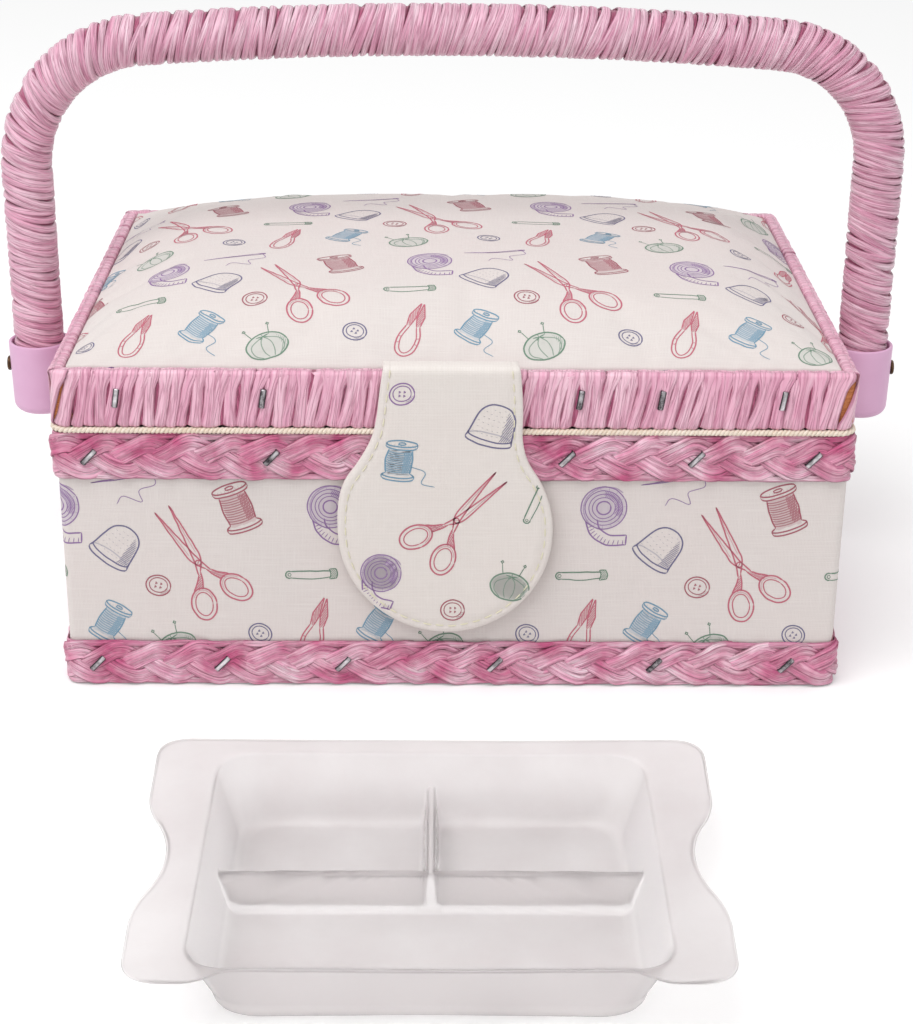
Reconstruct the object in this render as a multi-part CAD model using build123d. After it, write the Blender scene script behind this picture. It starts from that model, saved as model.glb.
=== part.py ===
"""Sewing basket: a cloth-covered box with a padded lid, a closing tab, a raffia-wrapped handle and a tray.

Millimetres. +Z is up, +X is to the right and the front faces -Y. The origin is the centre of the underside.
"""

from build123d import *
from math import atan2, cos, degrees, pi, sin, sqrt
import os

# Box body
box_width = 247.0
box_depth = 181.0
box_height = 87.6
box_corner_radius = 2.5
board_thickness = 3.0
cloth_thickness = 0.7
lining_thickness = 1.2
base_cloth_thickness = 0.6
base_cloth_margin = 2.0
lining_edge_radius = 0.2

# Braids round the box
braid_width = 15.6
braid_thickness = 2.2
braid_edge_radius = 0.9
braid_floor_gap = 0.3

# Lid
rim_side_overhang = 1.5
rim_front_overhang = 2.0
rim_height = 18.1
rim_corner_radius = 4.0
rim_board_thickness = 3.0
rim_wrap_thickness = 1.2
rim_wrap_edge_radius = 1.0
lid_panel_thickness = 3.0
lid_panel_drop = 4.3
lid_lining_margin = 0.5
lid_cord_diameter = 2.2
lid_cord_inset = 0.3
lid_cord_end_gap = 1.0
lid_rest_gap = 0.4
pad_crown = 18.5
pad_side_clearance = 0.3
pad_shoulder_power = 4.0
pad_corner_radius = 5.0
pad_crown_corner_share = 0.5
pad_shoulder_drop = 1.0
pad_levels = (0, 0.10, 0.28, 0.50, 0.70, 0.86, 0.96, 0.995)
foam_clearance = 0.05

# Cloth hinge at the back
hinge_strip_width = 214.0
hinge_strip_reach = 8.0
hinge_strip_thickness = 0.6

# Tab
tab_centre_x = -2.0
tab_top_width = 42.0
tab_lobe_radius = 33.2
tab_length = 88.5
tab_neck_length = 20.0
tab_cloth_thickness = 0.6
tab_stiffener_thickness = 1.0
tab_stiffener_inset = 3.5
tab_stitch_inset = 2.4
tab_stitch_length = 2.6
tab_stitch_gap = 1.3
tab_stitch_diameter = 0.5
tab_root_reach = 3.6
tab_clearance = 0.3
magnet_diameter = 14.0
magnet_height = 0.8
magnet_above_tab_end = 22.0
stud_shank_diameter = 4.0

# Handle
pivot_y = 16.0
pivot_drop = 15.4
handle_side_gap = 12.3
handle_height = 119.2
handle_left_bend = 44.0
handle_right_bend = 39.0
handle_crown_radius = 1400.0
handle_core_diameter = 11.7
handle_wrap_thickness = 2.95
socket_top_diameter = 21.6
socket_bottom_diameter = 20.6
socket_rise = 9.1
socket_drop = 16.8
socket_foot_radius = 3.6
socket_grip_depth = 6.0
core_end_above_pivot = 4.0
fit_gap = 0.05

# Handle pivots
screw_diameter = 4.0
screw_head_diameter = 5.2
screw_head_height = 0.9
screw_head_edge_radius = 0.54
screw_end_past_nut = 0.6
nut_across = 8.0
nut_height = 3.2
spacer_diameter = 11.0
running_gap = 0.4
braid_hole_gap = 0.3

# Staples
staple_length = 6.0
staple_wire_width = 1.1
staple_wire_height = 0.5
staple_leg_depth = 3.4
braid_staple_slant = 32.0
rim_staple_slant = 82.0
upper_staple_places = (-0.90, -0.45, 0.28, 0.60, 0.89)
lower_staple_places = (-0.91, -0.59, -0.28, 0.11, 0.52, 0.86)
rim_staple_places = (-0.83, -0.47, 0.31, 0.51, 0.81)
side_staple_places = (-0.7, 0.35, 0.8)

# Tray
tray_width = 157.0
tray_front_width = 149.5
tray_depth = 118.0
tray_height = 22.0
tray_wall = 0.8
tray_stand_off = 73.3
tray_centre_x = -6.5
tray_corner_radius = 9.0
tray_floor_width = 108.0
tray_floor_depth = 91.0
tray_floor_back_inset = 11.0
tray_floor_radius = 6.0
tray_side_draft = 7.0
tray_back_draft = 3.5
tray_front_draft = 11.0
tray_notch_depth = 6.8
tray_notch_mouth = 47.0
tray_notch_floor = 18.0
tray_notch_shift = -4.0
tray_front_step = 5.0
tray_front_step_width = 112.0
tray_divider_height = 12.0
tray_divider_base = 4.6
tray_divider_top = 2.6
tray_divider_place = 44.0
tray_divider_hollow_margin = 2.0

# How far a cutting shape runs past the face that it cuts
cut_overrun = 1.0

# Levels and faces worked out from the sizes above
wall_width = box_width - 2 * cloth_thickness
wall_depth = box_depth - 2 * cloth_thickness
inside_width = wall_width - 2 * board_thickness
inside_depth = wall_depth - 2 * board_thickness
wall_top = box_height - cloth_thickness
floor_top = base_cloth_thickness + board_thickness
braid_face_x = box_width / 2 + braid_thickness
braid_face_y = box_depth / 2 + braid_thickness
rim_width = box_width + 2 * rim_side_overhang
rim_depth = box_depth + 2 * rim_front_overhang
rim_bottom = box_height + lid_rest_gap + lid_cord_diameter
rim_top = rim_bottom + rim_height
rim_board_width = rim_width - 2 * rim_wrap_thickness
rim_board_depth = rim_depth - 2 * rim_wrap_thickness
panel_width = rim_board_width - 2 * rim_board_thickness
panel_depth = rim_board_depth - 2 * rim_board_thickness
panel_top = rim_top - lid_panel_drop
panel_bottom = panel_top - lid_panel_thickness
pad_width = panel_width - 2 * (rim_wrap_thickness + pad_side_clearance)
pad_depth = panel_depth - 2 * (rim_wrap_thickness + pad_side_clearance)
hinge_front_y = rim_depth / 2 - hinge_strip_reach
tab_thickness = 2 * tab_cloth_thickness + tab_stiffener_thickness
tab_back_y = -(max(rim_depth / 2, braid_face_y) + tab_clearance)
tab_front_y = tab_back_y - tab_thickness
tab_top = rim_top + tab_clearance + tab_thickness
tab_end = tab_top - tab_length
pivot_z = box_height - pivot_drop
handle_leg_x = box_width / 2 + handle_side_gap + socket_top_diameter / 2
handle_top_z = pivot_z + handle_height
wrap_diameter = handle_core_diameter + 2 * (handle_wrap_thickness + fit_gap)
socket_top = pivot_z + socket_rise
socket_bottom = pivot_z - socket_drop
socket_outer_x = handle_leg_x + socket_top_diameter / 2
socket_inner_x = handle_leg_x - socket_top_diameter / 2


def block(x0, x1, y0, y1, z0, z1):
    """A box between two corners."""
    return Pos((x0 + x1) / 2, (y0 + y1) / 2, (z0 + z1) / 2) * Box(x1 - x0, y1 - y0, z1 - z0)


def rounded_slab(width, depth, radius, z0, z1):
    """An upright prism on a rounded rectangle."""
    return Pos(0, 0, z0) * extrude(RectangleRounded(width, depth, radius), z1 - z0)


def save(shape, name):
    export_step(shape, "parts/" + name + ".step")


def save_group(shapes, name):
    """Separate solids that share one node."""
    save(Compound(children=list(shapes)), name)


def wall(side, width, depth, thickness, corner, z0, z1):
    """One of four boards that butt together: front and back run full width, the sides fit between them."""
    if side in ("front", "back"):
        sign = -1 if side == "front" else 1
        outer = sign * depth / 2
        inner = sign * (depth / 2 - thickness)
        board = block(-width / 2, width / 2, min(outer, inner), max(outer, inner), z0, z1)
        upright = board.edges().filter_by(Axis.Z).sort_by(Axis.Y)
        return fillet(upright[:2] if sign < 0 else upright[-2:], corner)
    sign = -1 if side == "left" else 1
    outer = sign * width / 2
    inner = sign * (width / 2 - thickness)
    half = depth / 2 - thickness
    return block(min(outer, inner), max(outer, inner), -half, half, z0, z1)


def staple(length, angle):
    """A wire staple at Y = 0: its crown lies on the face that looks to -Y, its legs go in towards +Y."""
    leg = staple_wire_width
    crown = block(-length / 2, length / 2, -staple_wire_height, 0, -leg / 2, leg / 2)
    for end in (-1, 1):
        x = end * (length / 2 - leg / 2)
        crown += block(x - leg / 2, x + leg / 2, 0, staple_leg_depth, -leg / 2, leg / 2)
    return Rot(0, angle, 0) * crown


def staple_row(places, half_run, face, z, angle, turn):
    """Staples along one side. The row is laid out on the front and turned about Z to its side."""
    for number, place in enumerate(places):
        lean = angle if number % 2 else -angle
        yield Rot(0, 0, turn) * Pos(place * half_run, -face, z) * staple(staple_length, lean)


def staples_round(places, half_width, half_depth, z, angle):
    yield from staple_row(places, half_width, half_depth, z, angle, 0)
    yield from staple_row(places, half_width, half_depth, z, angle, 180)
    yield from staple_row(side_staple_places, half_depth, half_width, z, angle, 90)
    yield from staple_row(side_staple_places, half_depth, half_width, z, angle, 270)


def side_bore(sign, diameter, x0, x1):
    """A cylinder along X at the handle's pivot, on one side of the box."""
    place = Pos(sign * (x0 + x1) / 2, pivot_y, pivot_z)
    return place * Rot(0, 90, 0) * Cylinder(diameter / 2, x1 - x0)


def build_box():
    corner = box_corner_radius - cloth_thickness
    save(rounded_slab(box_width - base_cloth_margin, box_depth - base_cloth_margin,
                      box_corner_radius, 0, base_cloth_thickness), "base_cloth")
    save(block(-inside_width / 2, inside_width / 2, -inside_depth / 2, inside_depth / 2,
               base_cloth_thickness, floor_top), "bottom_board")
    for side in ("front", "back", "left", "right"):
        board = wall(side, wall_width, wall_depth, board_thickness, corner, base_cloth_thickness, wall_top)
        if side == "front":
            board -= stud_bore()
        if side in ("left", "right"):
            sign = -1 if side == "left" else 1
            board -= side_bore(sign, screw_diameter + 2 * fit_gap, inside_width / 2 - cut_overrun,
                              wall_width / 2 + cut_overrun)
        save(board, side + "_board")
    cloth = rounded_slab(box_width, box_depth, box_corner_radius, base_cloth_thickness, box_height)
    cloth -= rounded_slab(wall_width, wall_depth, corner, 0, wall_top)
    cloth -= block(-inside_width / 2, inside_width / 2, -inside_depth / 2, inside_depth / 2,
                   wall_top - cut_overrun, box_height + cut_overrun)
    cloth -= stud_bore()
    for sign in (-1, 1):
        cloth -= side_bore(sign, screw_diameter + 2 * fit_gap, wall_width / 2 - cut_overrun,
                          box_width / 2 + cut_overrun)
    save(cloth, "outer_cloth")


def build_lining():
    bottom = floor_top + lining_thickness
    save(block(-inside_width / 2, inside_width / 2, -inside_depth / 2, inside_depth / 2,
               floor_top, bottom), "lining_floor")
    for side in ("front", "back", "left", "right"):
        panel = wall(side, inside_width, inside_depth, lining_thickness, lining_edge_radius,
                     bottom, wall_top)
        if side in ("left", "right"):
            sign = -1 if side == "left" else 1
            bore_end = inside_width / 2 + cut_overrun
            panel -= side_bore(sign, screw_diameter + 2 * fit_gap,
                               bore_end - lining_thickness - 2 * cut_overrun, bore_end)
        save(panel, "lining_" + side)


def braid(z0):
    """A flat braid laid round the box. Its four long edges are rounded."""
    z1 = z0 + braid_width
    ring = rounded_slab(2 * braid_face_x, 2 * braid_face_y, box_corner_radius + braid_thickness, z0, z1)
    rims = ring.faces().sort_by(Axis.Z)
    ring = fillet(rims[0].edges() + rims[-1].edges(), braid_edge_radius)
    return ring - rounded_slab(box_width, box_depth, box_corner_radius,
                               z0 - cut_overrun, z1 + cut_overrun)


def build_braids():
    upper = braid(box_height - braid_width)
    for sign in (-1, 1):
        upper -= side_bore(sign, spacer_diameter + 2 * braid_hole_gap,
                           box_width / 2 - cut_overrun, braid_face_x + cut_overrun)
    save(upper, "upper_braid")
    save(braid(braid_floor_gap), "lower_braid")
    upper_z = box_height - braid_width / 2
    lower_z = braid_floor_gap + braid_width / 2
    staples = list(staples_round(upper_staple_places, braid_face_x, braid_face_y, upper_z,
                                 braid_staple_slant))
    staples += staples_round(lower_staple_places, braid_face_x, braid_face_y, lower_z,
                             braid_staple_slant)
    save_group(staples, "braid_staples")


def build_hinge():
    """Two leaves of one cloth strip. They face each other when the lid is shut and meet at the fold line."""
    half = hinge_strip_width / 2
    save(block(-half, half, hinge_front_y, braid_face_y, box_height, box_height + hinge_strip_thickness),
         "hinge_leaf_body")
    save(block(-half, half, hinge_front_y, rim_depth / 2, rim_bottom - hinge_strip_thickness, rim_bottom),
         "hinge_leaf_lid")


def pad_section(share, grow, z):
    """A level of the pad: share is its height above the shoulder as a part of the crown."""
    spread = (1 - share) ** (1 / pad_shoulder_power)
    half_x = pad_width / 2 * spread + grow
    half_y = pad_depth / 2 * spread + grow
    crown_radius = pad_crown_corner_share * half_y
    radius = pad_corner_radius + grow + (crown_radius - pad_corner_radius) * sqrt(share)
    return Pos(0, 0, z) * RectangleRounded(2 * half_x, 2 * half_y, radius)


def pad_body(grow, bottom):
    """The crowned pad, from the panel up. Its sides rise to its shoulder, then roll in to the crown."""
    shoulder = rim_top - pad_shoulder_drop
    base = Pos(0, 0, bottom) * extrude(RectangleRounded(pad_width + 2 * grow, pad_depth + 2 * grow,
                                                        pad_corner_radius + grow), shoulder - bottom)
    height = pad_crown + pad_shoulder_drop + grow
    crown = loft([pad_section(share, grow, shoulder + share * height) for share in pad_levels])
    return base + crown


def build_lid():
    save(block(-panel_width / 2, panel_width / 2, -panel_depth / 2, panel_depth / 2,
               panel_bottom, panel_top), "lid_panel")
    lining_width = panel_width - 2 * (rim_wrap_thickness + lid_lining_margin)
    lining_depth = panel_depth - 2 * (rim_wrap_thickness + lid_lining_margin)
    save(block(-lining_width / 2, lining_width / 2, -lining_depth / 2, lining_depth / 2,
               panel_bottom - lining_thickness, panel_bottom), "lid_lining")
    board_bottom = rim_bottom + rim_wrap_thickness
    board_top = rim_top - rim_wrap_thickness
    corner = rim_corner_radius - rim_wrap_thickness
    for side in ("front", "back", "left", "right"):
        board = wall(side, rim_board_width, rim_board_depth, rim_board_thickness, corner,
                     board_bottom, board_top)
        save(board, "rim_board_" + side)
    ring = rounded_slab(rim_width, rim_depth, rim_corner_radius, rim_bottom, rim_top)
    rims = ring.faces().sort_by(Axis.Z)
    ring = fillet(rims[0].edges() + rims[-1].edges(), rim_wrap_edge_radius)
    opening_width = panel_width - 2 * rim_wrap_thickness
    opening_depth = panel_depth - 2 * rim_wrap_thickness
    ring -= block(-opening_width / 2, opening_width / 2, -opening_depth / 2, opening_depth / 2,
                  rim_bottom - cut_overrun, rim_top + cut_overrun)
    hollow = rounded_slab(rim_board_width, rim_board_depth, corner, board_bottom, board_top)
    hollow -= block(-panel_width / 2, panel_width / 2, -panel_depth / 2, panel_depth / 2,
                    board_bottom - cut_overrun, board_top + cut_overrun)
    slot = block(-panel_width / 2, panel_width / 2, -panel_depth / 2, panel_depth / 2,
                 panel_bottom, panel_top)
    save(ring - hollow - slot, "rim_wrap")
    save(pad_body(-cloth_thickness - foam_clearance, panel_top), "lid_foam")
    save(pad_body(0, panel_top) - pad_body(-cloth_thickness, panel_top - cut_overrun), "lid_cloth")
    rim_z = (rim_bottom + rim_top) / 2
    staples = staples_round(rim_staple_places, rim_width / 2, rim_depth / 2, rim_z, rim_staple_slant)
    save_group(staples, "rim_staples")
    build_lid_cord()


def build_lid_cord():
    """A round cord under the rim, along the left side, the front and the right side."""
    radius = lid_cord_diameter / 2
    x = rim_width / 2 - radius - lid_cord_inset
    y = rim_depth / 2 - radius - lid_cord_inset
    z = rim_bottom - radius
    back = hinge_front_y - lid_cord_end_gap
    path = FilletPolyline((-x, back, z), (-x, -y, z), (x, -y, z), (x, back, z), radius=rim_corner_radius)
    section = Plane(origin=path @ 0, z_dir=path % 0) * Circle(radius)
    save(sweep(section, path=path), "lid_cord")


def tab_outline(inset):
    """The tab seen from the front, on the plane Y = 0: a straight neck, hollow flanks and a round lobe."""
    half_top = tab_top_width / 2 - inset
    lobe = tab_lobe_radius - inset
    lobe_z = tab_end + tab_lobe_radius
    neck_z = tab_top - tab_neck_length
    drop = neck_z - lobe_z
    flank = (half_top ** 2 + drop ** 2 - lobe ** 2) / (2 * (lobe - half_top))
    flank_x = half_top + flank
    touch = atan2(drop, flank_x)
    side = (touch - pi / 2) / 2
    bend = pi + touch / 2

    def on_lobe(angle, mirror=1):
        return mirror * lobe * cos(angle), lobe_z + lobe * sin(angle)

    def on_flank(mirror=1):
        return mirror * (flank_x + flank * cos(bend)), neck_z + flank * sin(bend)

    top = tab_top - inset
    end = (0, lobe_z - lobe)
    return [Line((half_top, top), (half_top, neck_z)),
            ThreePointArc((half_top, neck_z), on_flank(), on_lobe(touch)),
            ThreePointArc(on_lobe(touch), on_lobe(side), end),
            ThreePointArc(end, on_lobe(side, -1), on_lobe(touch, -1)),
            ThreePointArc(on_lobe(touch, -1), on_flank(-1), (-half_top, neck_z)),
            Line((-half_top, neck_z), (-half_top, top)),
            Line((-half_top, top), (half_top, top))]


def tab_layer(inset, y_back, thickness):
    """A layer of the tab, from y_back towards the front."""
    face = make_face(tab_outline(inset))
    plane = Plane(origin=(tab_centre_x, y_back, 0), x_dir=(1, 0, 0), z_dir=(0, -1, 0))
    return extrude(plane * face, thickness)


def stud_place():
    """The closure's axis, pointing out of the front."""
    z = tab_end + magnet_above_tab_end
    return Pos(tab_centre_x, -box_depth / 2, z) * Rot(90, 0, 0)


def stud_bore():
    depth = cloth_thickness + board_thickness + cut_overrun
    return stud_place() * Cylinder(stud_shank_diameter / 2 + fit_gap, 2 * depth)


def build_tab():
    back = tab_back_y
    middle = back - tab_cloth_thickness
    front = middle - tab_stiffener_thickness
    z = tab_end + magnet_above_tab_end
    save(tab_layer(0, back, tab_cloth_thickness), "tab_back_cloth")
    pocket = Pos(tab_centre_x, middle - magnet_height / 2, z) * Rot(90, 0, 0)
    stiffener = tab_layer(tab_stiffener_inset, middle, tab_stiffener_thickness)
    bore = Cylinder(magnet_diameter / 2 + fit_gap, 2 * (tab_stiffener_thickness + cut_overrun))
    save(stiffener - pocket * bore, "tab_stiffener")
    save(pocket * Cylinder(magnet_diameter / 2, magnet_height), "tab_magnet")
    rim = tab_layer(0, middle, tab_stiffener_thickness)
    rim -= tab_layer(tab_stiffener_inset - fit_gap, middle + cut_overrun,
                     tab_stiffener_thickness + 2 * cut_overrun)
    save(tab_layer(0, front, tab_cloth_thickness) + rim, "tab_front_cloth")
    build_tab_stitching()
    root_back = tab_back_y + tab_root_reach + tab_clearance
    root = block(tab_centre_x - tab_top_width / 2, tab_centre_x + tab_top_width / 2,
                 tab_back_y + tab_clearance, root_back, rim_top, rim_top + tab_thickness)
    save(root, "tab_root")


def build_tab_stitching():
    """One line of thread stitches that follows the tab's edge, each half sunk in the cloth's face."""
    outline = Wire(tab_outline(tab_stitch_inset)[:-1])
    pitch = tab_stitch_length + tab_stitch_gap
    count = int(outline.length / pitch)
    stitches = []
    for number in range(count):
        here = outline.position_at((number + 0.5) / count)
        along = outline.tangent_at((number + 0.5) / count)
        lean = -degrees(atan2(along.Y, along.X))
        place = Pos(tab_centre_x + here.X, tab_front_y - tab_stitch_diameter / 4, here.Y) * Rot(0, lean, 0)
        stitches.append(place * Box(tab_stitch_length, tab_stitch_diameter / 2, tab_stitch_diameter))
    save_group(stitches, "tab_stitching")


def build_closure_stud():
    """A flat steel disc on the box front with a shank through cloth and board."""
    z = tab_end + magnet_above_tab_end
    face = tab_back_y + tab_clearance
    disc = Pos(tab_centre_x, (face - box_depth / 2) / 2, z) * Rot(90, 0, 0)
    stud = disc * Cylinder(magnet_diameter / 2, -box_depth / 2 - face)
    shank = cloth_thickness + board_thickness
    stud += Pos(tab_centre_x, (-box_depth + shank) / 2, z) * Rot(90, 0, 0) * Cylinder(
        stud_shank_diameter / 2, shank)
    save(stud, "closure_stud")


def handle_bend(radius):
    """Where one bend of the handle starts on the leg, its elbow and where it joins the crown."""
    crown_z = handle_top_z - handle_crown_radius
    bend_x = handle_leg_x - radius
    bend_z = crown_z + sqrt((handle_crown_radius - radius) ** 2 - bend_x ** 2)
    rise = atan2(bend_z - crown_z, bend_x)
    elbow = (bend_x + radius * cos(rise / 2), bend_z + radius * sin(rise / 2))
    join = (handle_crown_radius * cos(rise), crown_z + handle_crown_radius * sin(rise))
    return (handle_leg_x, bend_z), elbow, join


def handle_path(z_start):
    """The handle's centre line from the right leg over the crown to the left leg, one bend softer."""
    foot, elbow, join = handle_bend(handle_right_bend)
    right = [Line((handle_leg_x, z_start), foot), ThreePointArc(foot, elbow, join)]
    left_foot, left_elbow, left_join = ((-x, z) for x, z in handle_bend(handle_left_bend))
    left = [ThreePointArc(left_join, left_elbow, left_foot), Line(left_foot, (-handle_leg_x, z_start))]
    crown = ThreePointArc(join, (0, handle_top_z), left_join)
    flat = Wire(right + [crown] + left)
    return Plane(origin=(0, pivot_y, 0), x_dir=(1, 0, 0), z_dir=(0, -1, 0)) * flat


def handle_rod(radius, z_start, bore=0):
    path = handle_path(z_start)
    section = Plane(origin=(handle_leg_x, pivot_y, z_start), x_dir=(1, 0, 0), z_dir=(0, 0, 1))
    rod = sweep(section * Circle(radius), path=path)
    if bore:
        rod -= sweep(section * Circle(bore), path=path)
    return rod


def build_handle():
    core_radius = handle_core_diameter / 2
    save(handle_rod(core_radius, pivot_z + core_end_above_pivot), "handle_core")
    wrap_end = socket_top - socket_grip_depth
    save(handle_rod(wrap_diameter / 2, wrap_end, core_radius + fit_gap), "handle_wrap")
    for side, sign in (("left", -1), ("right", 1)):
        axis = Pos(sign * handle_leg_x, pivot_y, 0)
        height = socket_top - socket_bottom
        sleeve = axis * Pos(0, 0, (socket_top + socket_bottom) / 2) * Cone(
            socket_bottom_diameter / 2, socket_top_diameter / 2, height)
        foot = sleeve.edges().filter_by(GeomType.CIRCLE).sort_by(Axis.Z)[0]
        sleeve = fillet(foot, socket_foot_radius)
        sleeve -= axis * Pos(0, 0, socket_top - socket_grip_depth / 2) * Cylinder(
            wrap_diameter / 2 + fit_gap, socket_grip_depth)
        core_depth = socket_top - pivot_z - core_end_above_pivot
        sleeve -= axis * Pos(0, 0, socket_top - core_depth / 2) * Cylinder(core_radius + fit_gap, core_depth)
        sleeve -= side_bore(sign, screw_diameter + 2 * fit_gap, socket_inner_x - cut_overrun,
                            socket_outer_x + cut_overrun)
        save(sleeve, side + "_socket")


def build_pivots():
    """Each screw runs through its socket, the spacer and the box side to a nut inside."""
    for side, sign in (("left", -1), ("right", 1)):
        nut_face = inside_width / 2 - lining_thickness - running_gap
        screw = side_bore(sign, screw_diameter, nut_face - nut_height - screw_end_past_nut,
                          socket_outer_x + fit_gap)
        head = side_bore(sign, screw_head_diameter, socket_outer_x + fit_gap,
                         socket_outer_x + fit_gap + screw_head_height)
        rim = head.edges().filter_by(GeomType.CIRCLE).sort_by(Axis.X)
        head = fillet(rim[-1] if sign > 0 else rim[0], screw_head_edge_radius)
        save(screw + head, side + "_pivot_screw")
        blank = Pos(sign * (nut_face - nut_height / 2), pivot_y, pivot_z) * Rot(0, 90, 0) * extrude(
            RegularPolygon(nut_across / 2, 6, major_radius=False), nut_height / 2, both=True)
        blank -= side_bore(sign, screw_diameter + 2 * fit_gap, nut_face - nut_height - cut_overrun,
                           nut_face + cut_overrun)
        save(blank, side + "_pivot_nut")
        spacer = side_bore(sign, spacer_diameter, box_width / 2, socket_inner_x - running_gap)
        spacer -= side_bore(sign, screw_diameter + 2 * fit_gap, box_width / 2 - cut_overrun,
                            socket_inner_x + cut_overrun)
        save(spacer, side + "_spacer")


def tray_half_width(y):
    """Half the flange's width, which grows from the front to the back."""
    share = (y + tray_depth / 2) / tray_depth
    return (tray_front_width + (tray_width - tray_front_width) * share) / 2


def tray_notch(sign):
    """A finger notch in one side of the flange, narrower at its floor."""
    edge = sign * tray_half_width(tray_notch_shift)
    past = edge + sign * (tray_notch_depth + cut_overrun)
    floor = edge - sign * tray_notch_depth
    back, front = tray_notch_shift + tray_notch_mouth / 2, tray_notch_shift - tray_notch_mouth / 2
    floor_back, floor_front = tray_notch_shift + tray_notch_floor / 2, tray_notch_shift - tray_notch_floor / 2
    mouth_back, mouth_front = sign * tray_half_width(back), sign * tray_half_width(front)
    return make_face([Polyline((past, back), (mouth_back, back), (floor, floor_back), (floor, floor_front),
                               (mouth_front, front), (past, front), (past, back))])


def tray_flange():
    """The flat flange: rounded corners, a finger notch on each side and a step back along the front."""
    back_half, front_half, half_depth = tray_width / 2, tray_front_width / 2, tray_depth / 2
    plate = make_face([Polyline((-back_half, half_depth), (back_half, half_depth), (front_half, -half_depth),
                                (-front_half, -half_depth), (-back_half, half_depth))])
    plate = fillet(plate.vertices(), tray_corner_radius)
    for sign in (-1, 1):
        plate -= tray_notch(sign)
    front = -tray_depth / 2
    outer = tray_front_step_width / 2
    inner = outer - tray_front_step
    step = front + tray_front_step
    past = front - cut_overrun
    plate -= make_face([Polyline((-outer, past), (-outer, front), (-inner, step), (inner, step),
                                 (outer, front), (outer, past), (-outer, past))])
    return Pos(0, 0, tray_height - tray_wall) * extrude(plate, tray_wall)


def tray_well(grow, floor_z, top_z):
    """The drafted well. Each wall leans out by its own draft over the tray's height."""
    def level(z):
        share = z / tray_height
        width = tray_floor_width + 2 * (tray_side_draft * share + grow)
        floor_back = tray_depth / 2 - tray_floor_back_inset
        back = floor_back + tray_back_draft * share + grow
        front = floor_back - tray_floor_depth - tray_front_draft * share - grow
        place = Pos(0, (back + front) / 2, z)
        return place * RectangleRounded(width, back - front, tray_floor_radius + grow)
    return loft([level(floor_z), level(top_z)], ruled=True)


def ridge(length, height, base, top, floor_z):
    """A tapering ridge along X that stands on floor_z."""
    profile = make_face([Polyline((-base / 2, floor_z), (base / 2, floor_z), (top / 2, height),
                                  (-top / 2, height), (-base / 2, floor_z))])
    return Pos(-length / 2, 0, 0) * extrude(Plane.YZ * profile, length)


def build_tray():
    long_y = tray_depth / 2 - tray_floor_back_inset - tray_divider_place
    short_length = tray_divider_place + tray_floor_back_inset
    short_place = Pos(0, long_y + short_length / 2, 0) * Rot(0, 0, 90)
    long_ridge = Pos(0, long_y, 0) * ridge(tray_width, tray_divider_height, tray_divider_base,
                                           tray_divider_top, 0)
    short_ridge = short_place * ridge(short_length, tray_divider_height, tray_divider_base,
                                      tray_divider_top, 0)
    under = tray_divider_base - 2 * tray_wall
    under_top = tray_divider_top - 2 * tray_wall
    under_height = tray_divider_height - tray_wall
    long_span = tray_floor_width - 2 * tray_divider_hollow_margin
    short_span = tray_divider_place - tray_divider_hollow_margin
    well = tray_well(0, 0, tray_height)
    tray = well - tray_well(-tray_wall, tray_wall, tray_height)
    tray += (long_ridge + short_ridge) & well
    tray -= Pos(0, long_y, 0) * ridge(long_span, under_height, under, under_top, -cut_overrun)
    tray -= Pos(0, long_y + short_span / 2, 0) * Rot(0, 0, 90) * ridge(
        short_span, under_height, under, under_top, -cut_overrun)
    tray += tray_flange() - tray_well(-tray_wall, tray_wall, tray_height + cut_overrun)
    place_y = -(braid_face_y + tray_stand_off + tray_depth / 2)
    save(Pos(tray_centre_x, place_y, 0) * tray, "tray")


def main():
    os.makedirs("parts", exist_ok=True)
    build_box()
    build_lining()
    build_braids()
    build_hinge()
    build_lid()
    build_tab()
    build_closure_stud()
    build_handle()
    build_pivots()
    build_tray()


main()
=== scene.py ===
# %% [markdown]
# # A sewing basket with a padded lid, a wrapped handle and a loose tray
#
# The CAD model gives the construction: boards, lid, tab, handle and tray at their real size. This
# script dresses it. Cloth, raffia, cord and the formed tray are built as meshes in code, in the place
# of their plain CAD solids. Boards, linings, screws and bushes keep their CAD shape and get a finish.

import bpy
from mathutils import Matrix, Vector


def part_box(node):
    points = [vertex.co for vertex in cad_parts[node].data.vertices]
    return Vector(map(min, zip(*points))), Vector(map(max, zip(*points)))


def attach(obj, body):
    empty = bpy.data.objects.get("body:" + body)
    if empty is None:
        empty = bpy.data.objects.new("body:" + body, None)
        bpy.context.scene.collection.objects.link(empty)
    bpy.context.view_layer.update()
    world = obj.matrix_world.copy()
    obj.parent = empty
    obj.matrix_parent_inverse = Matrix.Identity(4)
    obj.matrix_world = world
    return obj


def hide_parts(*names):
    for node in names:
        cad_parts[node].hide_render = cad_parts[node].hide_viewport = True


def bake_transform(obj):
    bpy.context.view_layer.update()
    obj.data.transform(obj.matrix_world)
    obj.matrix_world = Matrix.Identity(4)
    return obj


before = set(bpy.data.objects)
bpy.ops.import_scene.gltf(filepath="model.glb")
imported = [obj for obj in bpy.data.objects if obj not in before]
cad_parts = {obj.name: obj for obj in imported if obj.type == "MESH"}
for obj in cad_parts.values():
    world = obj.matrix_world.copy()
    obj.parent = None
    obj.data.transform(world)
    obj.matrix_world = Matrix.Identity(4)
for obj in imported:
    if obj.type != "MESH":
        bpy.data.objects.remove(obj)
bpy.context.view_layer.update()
print("the packed model holds", len(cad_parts), "pieces")

# %% [markdown]
# ## Working in millimetres
#
# The basket is small, so every size below is in millimetres, and one helper turns the finished points
# into Blender's metres. Places are read from the CAD pieces, so a piece sits where its solid does.

# %% Units, colours and places
import math

import bpy
import numpy as np
from mathutils import Matrix

MM = 0.001
random = np.random.default_rng(20)


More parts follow.
